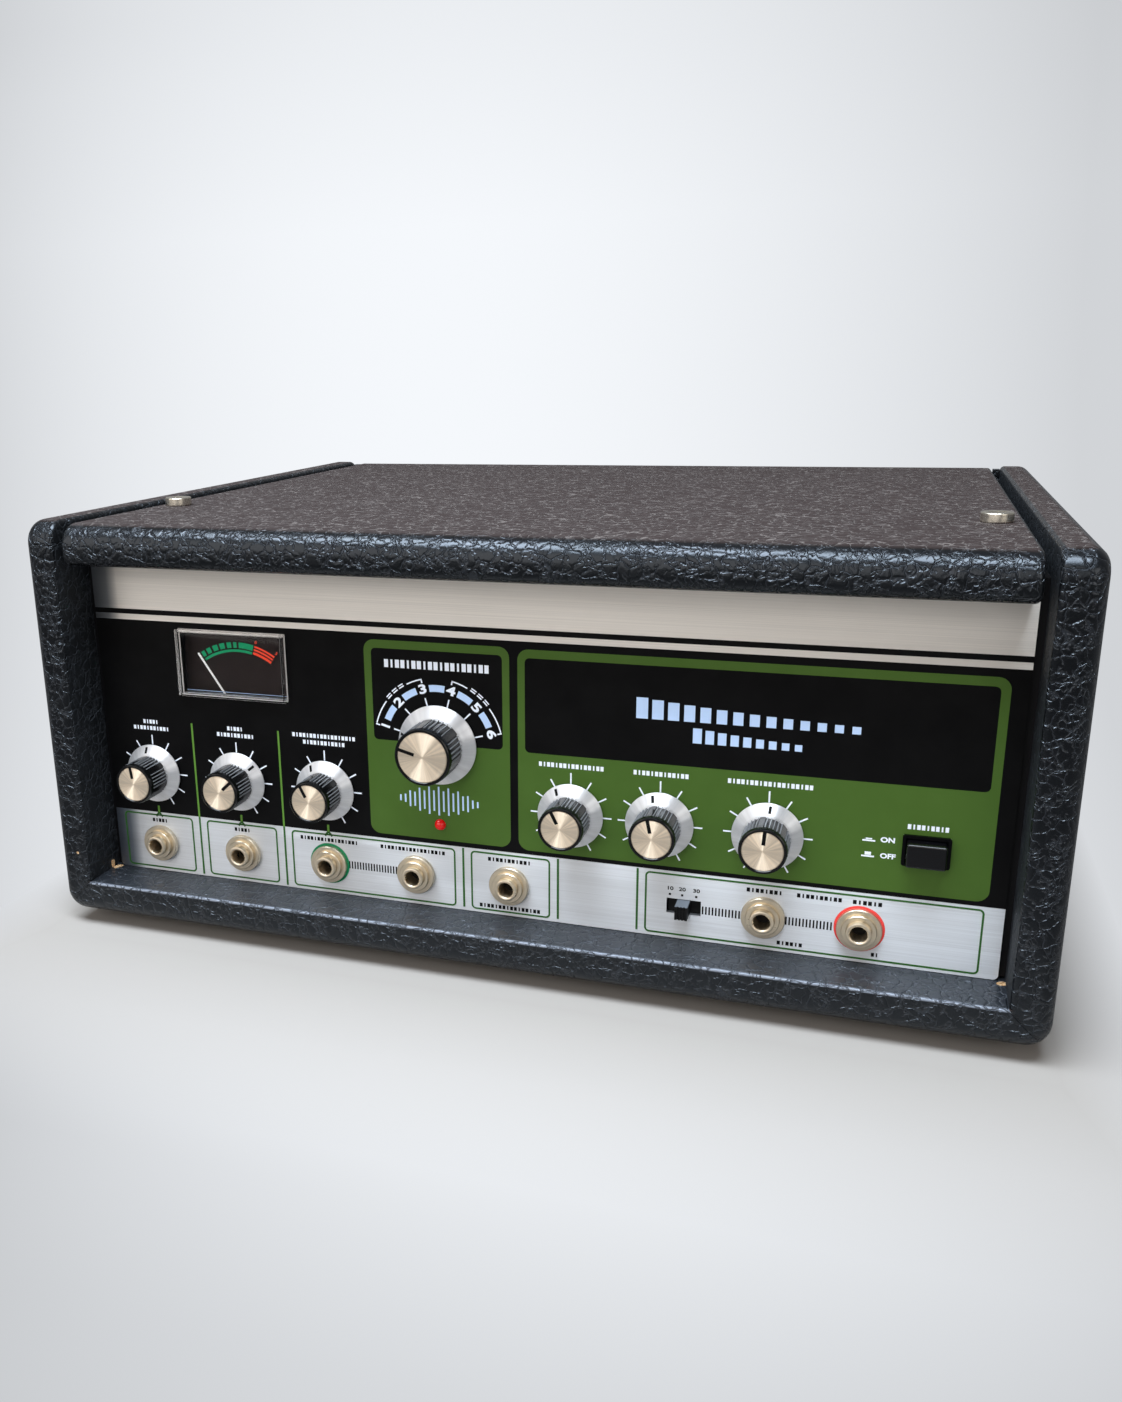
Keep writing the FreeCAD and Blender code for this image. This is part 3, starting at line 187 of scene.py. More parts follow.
def makeVinyl(name, chips=(), top=None, seam=None, highlightHeight=None):
    # pressed crackle grain: creases along the borders of uneven cells, finer ones between them, a slight grain
    material = newMaterial(name, vinyl["color"], vinyl["gloss"], Specular_IOR_Level=vinyl["specular"],
                           Specular_Tint=vinyl["sheen"])
    point = scaledPoint(material)
    spot = axesOf(material, point)
    bend = noiseAt(material, point, 170, 2.0, 0.55).outputs["Color"]
    bend = addNode(material, "VectorMath", {0: bend, 1: (0.5, 0.5, 0.5)}, operation="SUBTRACT").outputs[0]
    bend = addNode(material, "VectorMath", {0: bend, "Scale": 5.0 * mm}, operation="SCALE").outputs[0]
    bent = addNode(material, "VectorMath", {0: point, 1: bend}, operation="ADD").outputs[0]
    creases = []
    for cell, share in ((vinyl["cell"], 1.0), (vinyl["fineCell"], 0.8)):
        edge = addNode(material, "TexVoronoi", {"Vector": bent, "Scale": 1 / cell}, feature="DISTANCE_TO_EDGE")
        away = edge.outputs["Distance"]
        width = share * vinyl["line"] / cell
        creases.append((away, rangeOf(material, away, width * 0.35, width * 1.5, 1, 0)))
    broken = rangeOf(material, noiseAt(material, point, 230, 2.0).outputs["Fac"], 0.38, 0.48)
    bold = calc(material, "MULTIPLY", creases[0][1], broken)
    patches = rangeOf(material, noiseAt(material, point, 150, 2.0).outputs["Fac"], 0.49, 0.54, 0.0, 0.65)
    lean = normalAxes(material)
    flatTop = rangeOf(material, lean["Z"], 0.90, 0.995)
    fine = calc(material, "MULTIPLY", creases[1][1], patches)
    fine = calc(material, "MULTIPLY", fine, rangeOf(material, flatTop, 0.0, 1.0, 1.0, 0.3))
    depth = calc(material, "MAXIMUM", bold, fine)
    if seam is not None:
        # the mitred joint, a line that falls outwards from the inner corner
        across = calc(material, "ADD", calc(material, "ABSOLUTE", spot["X"]), spot["Z"])
        joint = rangeOf(material, apart(material, across, seam * mm), 0.35 * mm, 0.75 * mm, 1.0, 0.0)
        front = rangeOf(material, spot["Y"], -152 * mm, -150 * mm, 1.0, 0.0)
        joint = calc(material, "MULTIPLY", joint, front)
        depth = calc(material, "SUBTRACT", depth, calc(material, "MULTIPLY", joint, 2.0))
    swell = rangeOf(material, creases[0][0], 0.0, 0.22)
    grain = noiseAt(material, bent, 1300, 3.0, 0.6).outputs["Fac"]
    relief = calc(material, "SUBTRACT", 1.0, calc(material, "ABSOLUTE", depth))
    normal = None
    for height, distance in ((grain, "grainDepth"), (swell, "swell"), (relief, "creaseDepth")):
        normal = bumpFrom(material, height, 1.0, vinyl[distance], normal)
    toShader(material, "Normal", normal)
    sideways = rangeOf(material, calc(material, "ABSOLUTE", lean["X"]), 0.93, 0.99, 0.0, 0.40)
    wear = rangeOf(material, noiseAt(material, point, 25, 3.0).outputs["Fac"], 0.3, 0.7, -0.04, 0.05)
    rough = calc(material, "ADD", calc(material, "ADD", vinyl["gloss"], sideways), wear)
    color, crease = vinyl["color"], vinyl["crease"]
    if top is not None:
        # flat surfaces that face up have a roughness of their own, and a colour and creases of their own that are
        # painted reflection and painted highlights of the light from above
        rough = calc(material, "MAXIMUM", rough, calc(material, "MULTIPLY", flatTop, top[2]))
        color = mixColor(material, flatTop, color, top[0])
        crease = mixColor(material, flatTop, crease, top[1])
    toShader(material, "Roughness", rough)
    # the creases are painted paler than the covering: painted highlights on their walls
    color = mixColor(material, calc(material, "MULTIPLY", depth, 0.75, clamp=True), color, crease)
    if highlightHeight is not None:
        # a pale line painted along the front edge at this height: a painted highlight on the rounded edge
        edge = rangeOf(material, apart(material, spot["Z"], highlightHeight * mm), 0.3 * mm, 0.9 * mm, 1.0, 0.0)
        front = rangeOf(material, spot["Y"], -159.6 * mm, -158.6 * mm, 0.85, 0.0)
        edge = calc(material, "MULTIPLY", edge, front)
        edge = calc(material, "MULTIPLY", edge, rangeOf(material, depth, 0.0, 0.6, 1.0, 0.3))
        color = mixColor(material, edge, color, vinyl["edgeHighlight"])
    for x, y, z, radius in chips:
        toChip = addNode(material, "VectorMath", {0: bent, 1: (x * mm, y * mm, z * mm)}, operation="DISTANCE")
        chip = rangeOf(material, toChip.outputs["Value"], radius * mm, (radius + 0.25) * mm, 1.0, 0.0)
        fleck = noiseAt(material, point, 1500, 2.0).outputs["Fac"]
        wood = ramp(material, fleck, list(zip((0.3, 0.7), vinyl["wood"])))
        color = mixColor(material, chip, color, wood)
    toShader(material, "Base Color", color)
    return material


# how much of full metal the plate and the turned parts have
metalShare = {"plate": 0.86, "spun": 0.72}


def makeBrushed(name, color, coolReflectionColor, roughness):
    # fine scratches that run across; the map "brush" turns their sheen up and down
    material = newMaterial(name, color, roughness, metalShare["plate"], Anisotropic=0.85)
    tangent = addNode(material, "Tangent", direction_type="UV_MAP")
    tangent.uv_map = "brush"
    toShader(material, "Tangent", tangent.outputs["Tangent"])
    lines = noiseAt(material, scaledPoint(material, (7, 400, 3200)), 1.0, 4.0, 0.65).outputs["Fac"]
    patches = noiseAt(material, scaledPoint(material, (4, 4, 70)), 1.0, 3.0).outputs["Fac"]
    shade = calc(material, "MULTIPLY", lines, patches)
    spot = axesOf(material, scaledPoint(material))
    streak = ramp(material, shade, [(0.12, (0.78,) * 3), (0.38, (1.0,) * 3)])
    # painted reflection: the colour turns from warm above to cool below, standing in for the surroundings the
    # plate mirrors
    paintedReflectionTone = mixColor(material, rangeOf(material, spot["Z"], 50 * mm, 140 * mm), coolReflectionColor, color)
    # painted shade and reflection: darker and bluish towards the left end, beside the left side panel that shades
    # the plate and mirrors its dark face into it
    paintedCornerShade = ramp(material, rangeOf(material, spot["X"], -191 * mm, -171 * mm),
                  [(0.0, (0.16, 0.18, 0.22)), (0.35, (0.34, 0.38, 0.44)), (0.62, (0.95, 0.97, 1.0))])
    for layer in (paintedReflectionTone, paintedCornerShade):
        streak = addNode(material, "VectorMath", {0: streak, 1: layer}, operation="MULTIPLY").outputs[0]
    toShader(material, "Base Color", streak)
    toShader(material, "Roughness", rangeOf(material, lines, 0.3, 0.7, roughness - 0.07, roughness + 0.09))
    toShader(material, "Normal", bumpFrom(material, lines, 0.2, 0.015 * mm))
    return material


def makeMetal(name, color, roughness, grain=600, depth=0.01):
    # plated or turned metal with slight cloudiness and fine marks
    material = newMaterial(name, color, roughness, 1.0)
    cloud = noiseAt(material, scaledPoint(material), grain, 4.0, 0.6).outputs["Fac"]
    toShader(material, "Roughness", rangeOf(material, cloud, 0.3, 0.7, roughness * 0.75, roughness * 1.3))
    shades = [(0.25, tuple(c * 0.86 for c in color)), (0.65, color)]
    toShader(material, "Base Color", ramp(material, cloud, shades))
    toShader(material, "Normal", bumpFrom(material, cloud, 0.3, depth * mm))
    return material


def makePlastic(name, color, roughness, grain=1200, depth=0.02, specular=0.5, tint=0.85):
    # moulded or painted surface with a fine orange-peel grain and uneven sheen
    material = newMaterial(name, color, roughness, Specular_IOR_Level=specular)
    peel = noiseAt(material, scaledPoint(material), grain, 3.0, 0.55).outputs["Fac"]
    haze = noiseAt(material, scaledPoint(material), grain / 30, 4.0, 0.6).outputs["Fac"]
    toShader(material, "Roughness", rangeOf(material, haze, 0.3, 0.7, roughness * 0.85, roughness * 1.2))
    toShader(material, "Base Color", ramp(material, haze, [(0.3, tuple(c * tint for c in color)), (0.7, color)]))
    toShader(material, "Normal", bumpFrom(material, peel, 0.25, depth * mm))
    return material


def makeSpun(name, color, roughness, streak):
    # turned metal: the fine rings follow the piece's own map, whose first axis is the angle
    material = newMaterial(name, color, roughness, metalShare["spun"], Anisotropic=0.96,
                           Anisotropic_Rotation=0.25)
    tangent = addNode(material, "Tangent", direction_type="UV_MAP")
    tangent.uv_map = "turning"
    toShader(material, "Tangent", tangent.outputs["Tangent"])
    uv = addNode(material, "UVMap", uv_map="turning").outputs["UV"]
    rings = addNode(material, "VectorMath", {0: uv, 1: (3, 9, 1)}, operation="MULTIPLY").outputs[0]
    ringNoise = noiseAt(material, rings, 1.0, 5.0, 0.7).outputs["Fac"]
    rays = addNode(material, "VectorMath", {0: uv, 1: (26, 0.02, 1)}, operation="MULTIPLY").outputs[0]
    rayNoise = noiseAt(material, rays, 1.0, 2.0, 0.6).outputs["Fac"]
    # painted reflection: darker radial streaks in the colour stand in for the light caught along the turned rings
    dark = tuple(c * (1 - streak) for c in color)
    toShader(material, "Base Color", ramp(material, rayNoise, [(0.3, dark), (0.62, color)]))
    toShader(material, "Roughness", rangeOf(material, ringNoise, 0.3, 0.7, roughness * 0.8, roughness * 1.2))
    toShader(material, "Normal", bumpFrom(material, ringNoise, 0.15, 0.01 * mm))
    return material


def makeGlowingInk(name, color, glow=0.45):
    # ink on a dial that glows a little by itself: painted light, standing in for light that the clear hood keeps
    # from the dial
    material = makePlastic(name, color, 0.5, 2500, 0.004, 0.3, 0.93)
    shader = material.node_tree.nodes["Principled BSDF"]
    shader.inputs["Emission Color"].default_value = (*color, 1)
    shader.inputs["Emission Strength"].default_value = glow
    return material


def makeSlider():
    # a black lever whose top face is painted pale: a painted highlight of the light from above
    material = makePlastic("sliderPlastic", srgb(12, 12, 14), 0.45, 1500, 0.01, 0.2)
    paintedTopHighlight = rangeOf(material, normalAxes(material)["Z"], 0.9, 0.95)
    toShader(material, "Base Color", mixColor(material, paintedTopHighlight, srgb(10, 10, 12), srgb(120, 128, 138)))
    return material


def makeClear(name, color, roughness=0.05, ior=1.40):
    material = newMaterial(name, color, roughness, IOR=ior, Transmission_Weight=1.0)
    haze = noiseAt(material, scaledPoint(material), 60, 4.0, 0.7).outputs["Fac"]
    toShader(material, "Roughness", rangeOf(material, haze, 0.4, 0.8, roughness, roughness + 0.04))
    return material


# spots where the covering is chipped down to the wood: x, y, z and radius
chipSpots = {
    "lid": [(73.4, -156.7, 169.3, 1.3)],
    "side": [(-198.5, -160.0, 36.0, 0.8), (-193.6, -141.0, 23.5, 1.6)],
    "base": [(192.3, -140.0, 21.6, 1.8), (-192.0, -140.0, 21.6, 1.6)],
}
# |x| + z along the mitred joints, and the height of the painted highlight along the floor board's front edge
mitre, edgeHighlightHeight = 215.2, 21.3

skin = {
    "lid": makeVinyl("vinylLid", chipSpots["lid"], vinyl["lidTop"]),
    "side": makeVinyl("vinylSide", chipSpots["side"], vinyl["lidTop"], mitre),
    "base": makeVinyl("vinylBase", chipSpots["base"], vinyl["ledge"], mitre, edgeHighlightHeight),
    "brushed": makeBrushed("brushedAluminium", srgb(255, 248, 238), srgb(234, 236, 238), 0.50),
    "blackPaint": makePlastic("blackEnamel", srgb(11, 11, 12), 0.36, 2500, 0.004, 0.10),
    "greenPaint": makePlastic("greenEnamel", srgb(68, 97, 38), 0.38, 2500, 0.004, 0.16, 0.93),
    "paleInk": makePlastic("paleBlueInk", srgb(186, 212, 248), 0.5, 2500, 0.004, 0.3, 0.95),
    "whiteInk": makePlastic("whiteInk", srgb(236, 243, 255), 0.5, 2500, 0.004, 0.3, 0.96),
    "lineGreen": makePlastic("lineGreenInk", srgb(92, 138, 54), 0.45, 2500, 0.004, 0.2, 0.93),
    "blackInk": makePlastic("blackInk", srgb(8, 8, 10), 0.45, 2500, 0.004, 0.12),
    "redInk": makePlastic("redInk", srgb(232, 70, 66), 0.45, 2500, 0.004, 0.3, 0.93),
    "stripGreen": makePlastic("stripGreenInk", srgb(44, 96, 36), 0.45, 2500, 0.004, 0.3, 0.93),
    "tealInk": makePlastic("tealInk", srgb(14, 132, 84), 0.45, 2500, 0.004, 0.3, 0.93),
    "dialGreen": makeGlowingInk("dialGreenInk", srgb(14, 140, 92)),
    "dialRed": makeGlowingInk("dialRedInk", srgb(232, 70, 44)),
    "dialWhite": makeGlowingInk("needleWhite", srgb(240, 240, 238)),
    "knobPlastic": makePlastic("knobPlastic", srgb(8, 8, 9), 0.20, 2200, 0.003, 0.40),
    # the ribs are painted pale grey: painted highlights on the black ribs
    "ribHighlightGrey": makePlastic("ribHighlightGrey", srgb(128, 130, 134), 0.30, 2200, 0.003, 0.6),
    "spunCap": makeSpun("spunChampagne", srgb(250, 232, 208), 0.52, 0.28),
    "spunSkirt": makeSpun("spunAluminium", srgb(246, 247, 250), 0.46, 0.16),
    "nickel": makeMetal("agedNickel", srgb(230, 216, 192), 0.36, 250, 0.004),
    "brightSteel": makeMetal("brightSteel", srgb(205, 205, 205), 0.22),
    "knurled": makeMetal("paleNickel", srgb(222, 214, 198), 0.30),
    "zinc": makeMetal("zincSteel", srgb(165, 168, 170), 0.38, 260, 0.02),
    "glossBlack": makePlastic("glossBlack", srgb(6, 6, 9), 0.12, 1800, 0.002, 0.45),
    "bezelBlack": makePlastic("bezelBlack", srgb(5, 5, 7), 0.20, 1800, 0.002, 0.12),
    "mattBlack": makePlastic("mattBlackPlastic", srgb(16, 16, 18), 0.48, 1500, 0.02, 0.15),
    "rubber": makePlastic("blackRubber", srgb(26, 26, 27), 0.75, 900, 0.06, 0.3),
    "bore": makePlastic("darkBore", srgb(10, 10, 10), 0.6, 900, 0.02, 0.2),
    "clear": makeClear("clearAcrylic", (0.98, 0.985, 0.99), 0.02),
    "hood": makeClear("hoodAcrylic", (0.98, 0.985, 1.0), 0.02, 1.22),
    "slider": makeSlider(),
    "dial": makePlastic("dialBlack", srgb(48, 38, 36), 0.55, 2500, 0.004, 0.2),
    "redLens": makePlastic("redLens", srgb(235, 8, 8), 0.07, 2000, 0.001, 0.60, 0.80),
    "tape": makePlastic("brownTape", srgb(70, 44, 32), 0.28, 1800, 0.003, 0.5),
    "motor": makeMetal("motorGrey", srgb(120, 124, 128), 0.42, 260, 0.02),
    "core": makeMetal("laminatedIron", srgb(92, 90, 88), 0.5, 260, 0.03),
    "board": makePlastic("boardGreen", srgb(48, 92, 58), 0.4, 1500, 0.01),
}
print("materials made")


# turning work into pieces
def finishPiece(name, work, material, body="cabinet", stands=(), smooth=35, size=mm, weighted=False):
    bmesh.ops.scale(work, vec=(size, size, size), verts=work.verts)
    bmesh.ops.remove_doubles(work, verts=work.verts, dist=0.0005 * mm)
    bmesh.ops.recalc_face_normals(work, faces=work.faces)
    limit = math.radians(smooth)
    for face in work.faces:
        face.smooth = True
    for edge in work.edges:
        edge.smooth = edge.is_manifold and edge.calc_face_angle(0) < limit
    mesh = bpy.data.meshes.new(name)
    work.to_mesh(mesh)
    work.free()
    mesh.materials.append(skin[material] if isinstance(material, str) else material)
    piece = bpy.data.objects.new(name, mesh)
    bpy.context.scene.collection.objects.link(piece)
    if weighted:
        modifier = piece.modifiers.new("weighted", "WEIGHTED_NORMAL")
        modifier.keep_sharp = True
    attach(piece, body)
    if stands:
        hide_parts(*stands)


def brushMap(work):
    # a flat map whose first axis points up
    layer = work.loops.layers.uv.new("brush")
    for face in work.faces:
        for loop in face.loops:
            loop[layer].uv = (loop.vert.co.z, loop.vert.co.x)


def dressNode(node, material, weighted=True, soften=None):
    # the node's own shape, with its loose triangles joined so that round faces shade smoothly
    work = bmesh.new()
    work.from_mesh(frame["nodes"][node].data)
    bmesh.ops.remove_doubles(work, verts=work.verts, dist=0.002 * mm)
    if soften:
        bmesh.ops.dissolve_limit(work, angle_limit=math.radians(1), verts=work.verts, edges=work.edges)
        rims = [edge for edge in work.edges if all(soften(vert.co / mm) for vert in edge.verts)]
        bmesh.ops.bevel(work, geom=rims, offset=1.1 * mm, affect="EDGES", segments=3, profile=0.5, material=-1)
    if material == "brushed":
        brushMap(work)
    body = frame["nodes"][node]["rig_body"]
    finishPiece(node + "_finish", work, material, body, (node,), smooth=32, size=1.0, weighted=weighted)


def facing(y):
    # work drawn flat in X and Y is stood up to face the front at this depth
    return Matrix.Translation((0, y, 0)) @ Matrix.Rotation(math.radians(90), 4, "X")


def addBar(work, x, z, width, height, angle=0.0):
    # a flat bar centred on x, z, turned clockwise by angle
    turn = Matrix.Rotation(-math.radians(angle), 4, "Z")
    place = Matrix.Translation((x, z, 0)) @ turn @ Matrix.Diagonal((width, height, 1, 1))
    return bmesh.ops.create_grid(work, x_segments=1, y_segments=1, size=0.5, matrix=place)["verts"]


def addTick(work, x, z, angle, inner, outer, width):
    # a mark that points away from x, z; the angle is clockwise from straight up
    middle = (inner + outer) / 2
    a = math.radians(angle)
    return addBar(work, x + middle * math.sin(a), z + middle * math.cos(a), width, outer - inner, angle)


def addArc(work, x, z, inner, outer, start, end, steps=None):
    # a flat band between two radii, from start to end clockwise from straight up
    a = math.radians(start)
    ends = [work.verts.new((x + r * math.sin(a), z + r * math.cos(a), 0)) for r in (inner, outer)]
    edge = work.edges.new(ends)
    full = abs(end - start) >= 360
    steps = steps or max(3, int(abs(end - start) / 4))
    bmesh.ops.spin(work, geom=ends + [edge], cent=(x, z, 0), axis=(0, 0, -1), angle=math.radians(end - start),
                   steps=steps, use_merge=full)


def addRounded(work, left, right, low, high, radius):
    # the outline of a rounded rectangle
    corners = addBar(work, (left + right) / 2, (low + high) / 2, right - left, high - low)
    if radius > 0:
        bmesh.ops.bevel(work, geom=corners, offset=radius, affect="VERTICES", segments=6, profile=0.5,
                        material=-1, offset_type="OFFSET")


def fillOutlines(work):
    # turns closed outlines into faces, where an outline inside another is a hole
    bmesh.ops.delete(work, geom=list(work.faces), context="FACES_ONLY")
    bmesh.ops.triangle_fill(work, use_beauty=True, use_dissolve=False, edges=list(work.edges), normal=(0, 0, 1))


def thicken(work, thickness):
    # flat faces become a thin plate, from 0 to thickness
    region = bmesh.ops.extrude_face_region(work, geom=list(work.faces))
    raised = [item for item in region["geom"] if isinstance(item, bmesh.types.BMVert)]
    bmesh.ops.translate(work, vec=(0, 0, thickness), verts=raised)


def join(work, other):
    # adds the faces of other to work
    mesh = bpy.data.meshes.new("part")
    other.to_mesh(mesh)
    other.free()
    work.from_mesh(mesh)
    bpy.data.meshes.remove(mesh)


def addText(work, text, x, z, height, stretch=1.0, angle=0.0, weight=0.0):
    curve = bpy.data.curves.new("lettering", "FONT")
    curve.body = text
    curve.size = height / 0.70
    curve.offset = weight * curve.size
    curve.align_x = "CENTER"
    curve.align_y = "CENTER"
    curve.resolution_u = 3
    holder = bpy.data.objects.new("lettering", curve)
    bpy.context.scene.collection.objects.link(holder)
    bpy.context.view_layer.update()
    mesh = bpy.data.meshes.new_from_object(holder.evaluated_get(bpy.context.evaluated_depsgraph_get()))
    turn = Matrix.Rotation(-math.radians(angle), 4, "Z")
    mesh.transform(Matrix.Translation((x, z, 0)) @ turn @ Matrix.Diagonal((stretch, 1, 1, 1)))
    work.from_mesh(mesh)
    bpy.data.objects.remove(holder)
    bpy.data.curves.remove(curve)
    bpy.data.meshes.remove(mesh)


def printLayer(name, work, material, level, thickness=0.04, faceY=panelY):
    # a printed layer in front of the panel or another face; level is how far its back stands from that face
    thicken(work, thickness)
    bmesh.ops.transform(work, matrix=facing(faceY - level), verts=work.verts)
    finishPiece(name, work, material, "cabinet", smooth=30)


def turned(points, steps=72, closed=True):
    # a profile of radius and height pairs, turned round the Z axis
    work = bmesh.new()
    chain = [work.verts.new((radius, 0, height)) for radius, height in points]
    pairs = list(zip(chain, chain[1:])) + ([(chain[-1], chain[0])] if closed else [])
    edges = [work.edges.new(pair) for pair in pairs]
    bmesh.ops.spin(work, geom=chain + edges, cent=(0, 0, 0), axis=(0, 0, 1), angle=2 * math.pi, steps=steps,
                   use_merge=True)
    bmesh.ops.remove_doubles(work, verts=work.verts, dist=0.0005)
    return work


def turningMap(work):
    # a map whose first axis is the angle round Z and whose second is the distance from it
    layer = work.loops.layers.uv.new("turning")
    for face in work.faces:
        middle = face.calc_center_median()
        base = math.atan2(middle.y, middle.x)
        for loop in face.loops:
            spot = loop.vert.co
            away = math.hypot(spot.x, spot.y)
            lean = math.atan2(spot.y, spot.x) - base if away > 0.01 else 0.0
            lean = (lean + math.pi) % (2 * math.pi) - math.pi
            loop[layer].uv = ((base + lean) / (2 * math.pi) + 1, away / 10)


def place(work, x, y, z):
    # stands turned work up to face the front at this spot
    bmesh.ops.transform(work, matrix=Matrix.Translation((x, 0, z)) @ facing(y), verts=work.verts)
    return work


# cabinet: the covering rolls over the front edge of the floor board and over the inner front edges of the sides
cushions = {
    "bottom_panel": lambda spot: spot.y < -159.9 and spot.z > 21.5,
    "side_panel_left": lambda spot: spot.y < -159.9 and spot.x > -193.7,
    "side_panel_right": lambda spot: spot.y < -159.9 and spot.x < 193.7,
}
for node, material in (("side_panel_left", "side"), ("side_panel_right", "side"), ("bottom_panel", "base"),
                       ("rear_panel", "base"), ("top_lid", "lid")):
    dressNode(node, material, soften=cushions.get(node))
print("cabinet dressed")


# panel print
panel = {
    "left": -191.0, "right": 191.0,
    "blackLow": 50.7, "blackHigh": 140.8, "stripeLow": 143.4, "stripeHigh": 145.6,
}
controls = {
    "mic_volume_1": (-167.7, 70.1, -8), "mic_volume_2": (-124.75, 70.1, 48),
    "instrument_volume": (-81.8, 70.1, -27), "repeat_rate": (27.3, 70.1, -27),
    "intensity": (63.4, 70.1, -12), "echo_volume": (105.0, 70.1, 4),
}
knobScale = {"first": -150, "step": 30, "reach": (12.8, 16.8), "uprightReach": (13.3, 17.9), "width": 0.62}
# inner and outer radii of what is printed round the selector
selector = {
    "x": -29.25, "z": 95.2, "angle": -75, "step": 30,
    "ticks": (16.0, 20.2), "band": (22.5, 25.4), "digits": 23.9,
    "bracket": (27.9, 28.45), "outerBracket": (28.9, 29.4), "bracketEnd": (26.6, 28.45),
}
lamp = {"x": -29.25, "z": 59.7, "radius": 2.5}
jackXs = (-167.7, -124.75, -81.8, -40.8, 1.0, 105.0, 140.9)
inputXs = jackXs[:3]
jackZ = 35.8
power = {"x": 162.2, "z": 70.1, "halfWidth": 8.3, "halfHeight": 5.9}
meter = {"x": -123.5, "low": 108.4, "high": 138.2, "width": 52.3, "wall": 1.3}

dressNode("front_panel", "brushed", weighted=False)


def addOpenings(work):
    # the outlines of the holes for the power button and the lamp
    x, z, wide, tall = power["x"], power["z"], power["halfWidth"], power["halfHeight"]
    addRounded(work, x - wide, x + wide, z - tall, z + tall, 0)
    bmesh.ops.create_circle(work, cap_ends=False, radius=lamp["radius"] + 0.05, segments=24,
                            matrix=Matrix.Translation((lamp["x"], lamp["z"], 0)))


work = bmesh.new()
addRounded(work, panel["left"], panel["right"], panel["blackLow"], panel["blackHigh"], 0)
halfWindow = meter["width"] / 2 - 0.2
addRounded(work, meter["x"] - halfWindow, meter["x"] + halfWindow, meter["low"] + 0.2, meter["high"] - 0.2, 0)
addOpenings(work)
fillOutlines(work)
printLayer("panel_black_field", work, "blackPaint", 0.0)

work = bmesh.new()
addRounded(work, panel["left"], panel["right"], panel["stripeLow"], panel["stripeHigh"], 0)
printLayer("panel_black_band", work, "blackPaint", 0.0)

greenBoxes = [
    {"left": -61.2, "right": 1.8, "low": 52.8, "high": 138.2, "window": (-58.0, -1.2, 95.2, 134.7)},
    {"left": 5.2, "right": 185.0, "low": 52.5, "high": 137.7, "window": (8.2, 181.8, 95.0, 134.2)},
]
work = bmesh.new()
for box in greenBoxes:
    addRounded(work, box["left"], box["right"], box["low"], box["high"], 4.5)
    left, right, low, high = box["window"]
    addRounded(work, left, right, low, high, 2.0)
addOpenings(work)
fillOutlines(work)
printLayer("panel_green_boxes", work, "greenPaint", 0.04)

# small rows of bars that stand where a label belongs: centre x, z, width, height and how many bars
labels = {
    "pale": ((-167.7, 91.2, 18.7, 1.8, 11), (-124.75, 91.2, 18.7, 1.8, 11), (-81.8, 91.2, 20.0, 1.8, 12),
             (-167.7, 94.2, 8.0, 1.8, 5), (-124.75, 94.2, 8.0, 1.8, 5), (-81.8, 94.2, 30.0, 1.8, 18),
             (27.3, 90.8, 27.0, 1.9, 16), (63.4, 90.8, 22.0, 1.9, 13), (105.0, 90.8, 32.0, 1.9, 19),
             (-29.5, 128.5, 46.0, 3.4, 19), (162.2, 79.2, 14.6, 1.9, 9)),
    "black": ((-167.7, 46.7, 8.2, 1.7, 5), (-124.75, 46.7, 8.2, 1.7, 5), (-81.8, 46.7, 28.0, 1.7, 17),
              (-42.4, 46.7, 30.0, 1.7, 18), (1.0, 46.7, 19.0, 1.7, 11), (1.0, 25.3, 27.0, 1.7, 16),
              (105.0, 46.6, 14.0, 1.7, 8), (125.6, 46.6, 17.0, 1.7, 10), (143.2, 46.6, 11.0, 1.7, 6),
              (115.5, 25.6, 10.0, 1.6, 6), (147.2, 25.6, 3.0, 1.6, 2)),
}


def addSign(work, x, z, width, height, count):
    # a row of bars of one height, every third of them narrow
    pitch = width / count
    for step in range(count):
        wide = 0.36 if step % 3 == 1 else 0.74
        addBar(work, x + (step + 0.5) * pitch - width / 2, z, pitch * wide, height)


def addBracketArc(work, side, radii, start, end):
    # an arc round the selector's centre, to its right for a side of 1 and to its left for -1
    addArc(work, selector["x"], selector["z"], *selector[radii], *sorted((side * start, side * end)))


# white marks: scales round the knobs, the selector's digits and brackets, and the label signs
work = bmesh.new()
for x, z, angle in controls.values():
    for step in range(11):
        turn = knobScale["first"] + knobScale["step"] * step
        reach = knobScale["reach"] if turn else knobScale["uprightReach"]
        addTick(work, x, z, turn, *reach, knobScale["width"])
for step in range(6):
    turn = selector["angle"] + selector["step"] * step
    addTick(work, selector["x"], selector["z"], turn, *selector["ticks"], knobScale["width"])
for side in (-1, 1):
    for start, end in ((14, 28), (31, 36), (38, 43), (45, 50), (53, 75)):
        addBracketArc(work, side, "bracket", start, end)
    for start, end in ((31, 36), (38, 43), (45, 50)):
        addBracketArc(work, side, "outerBracket", start, end)
    for turn in (14, 76):
        addTick(work, selector["x"], selector["z"], side * turn, *selector["bracketEnd"], 0.6)
for step in range(6):
    turn = selector["angle"] + selector["step"] * step
    a = math.radians(turn)
    wide = 1.45 if step else 1.1
    x, z = selector["x"] + selector["digits"] * math.sin(a), selector["z"] + selector["digits"] * math.cos(a)
    addText(work, str(step + 1), x, z, 3.7, wide, turn, 0.035)
for x, z, wide, tall, count in labels["pale"]:
    addSign(work, x, z, wide, tall, count)
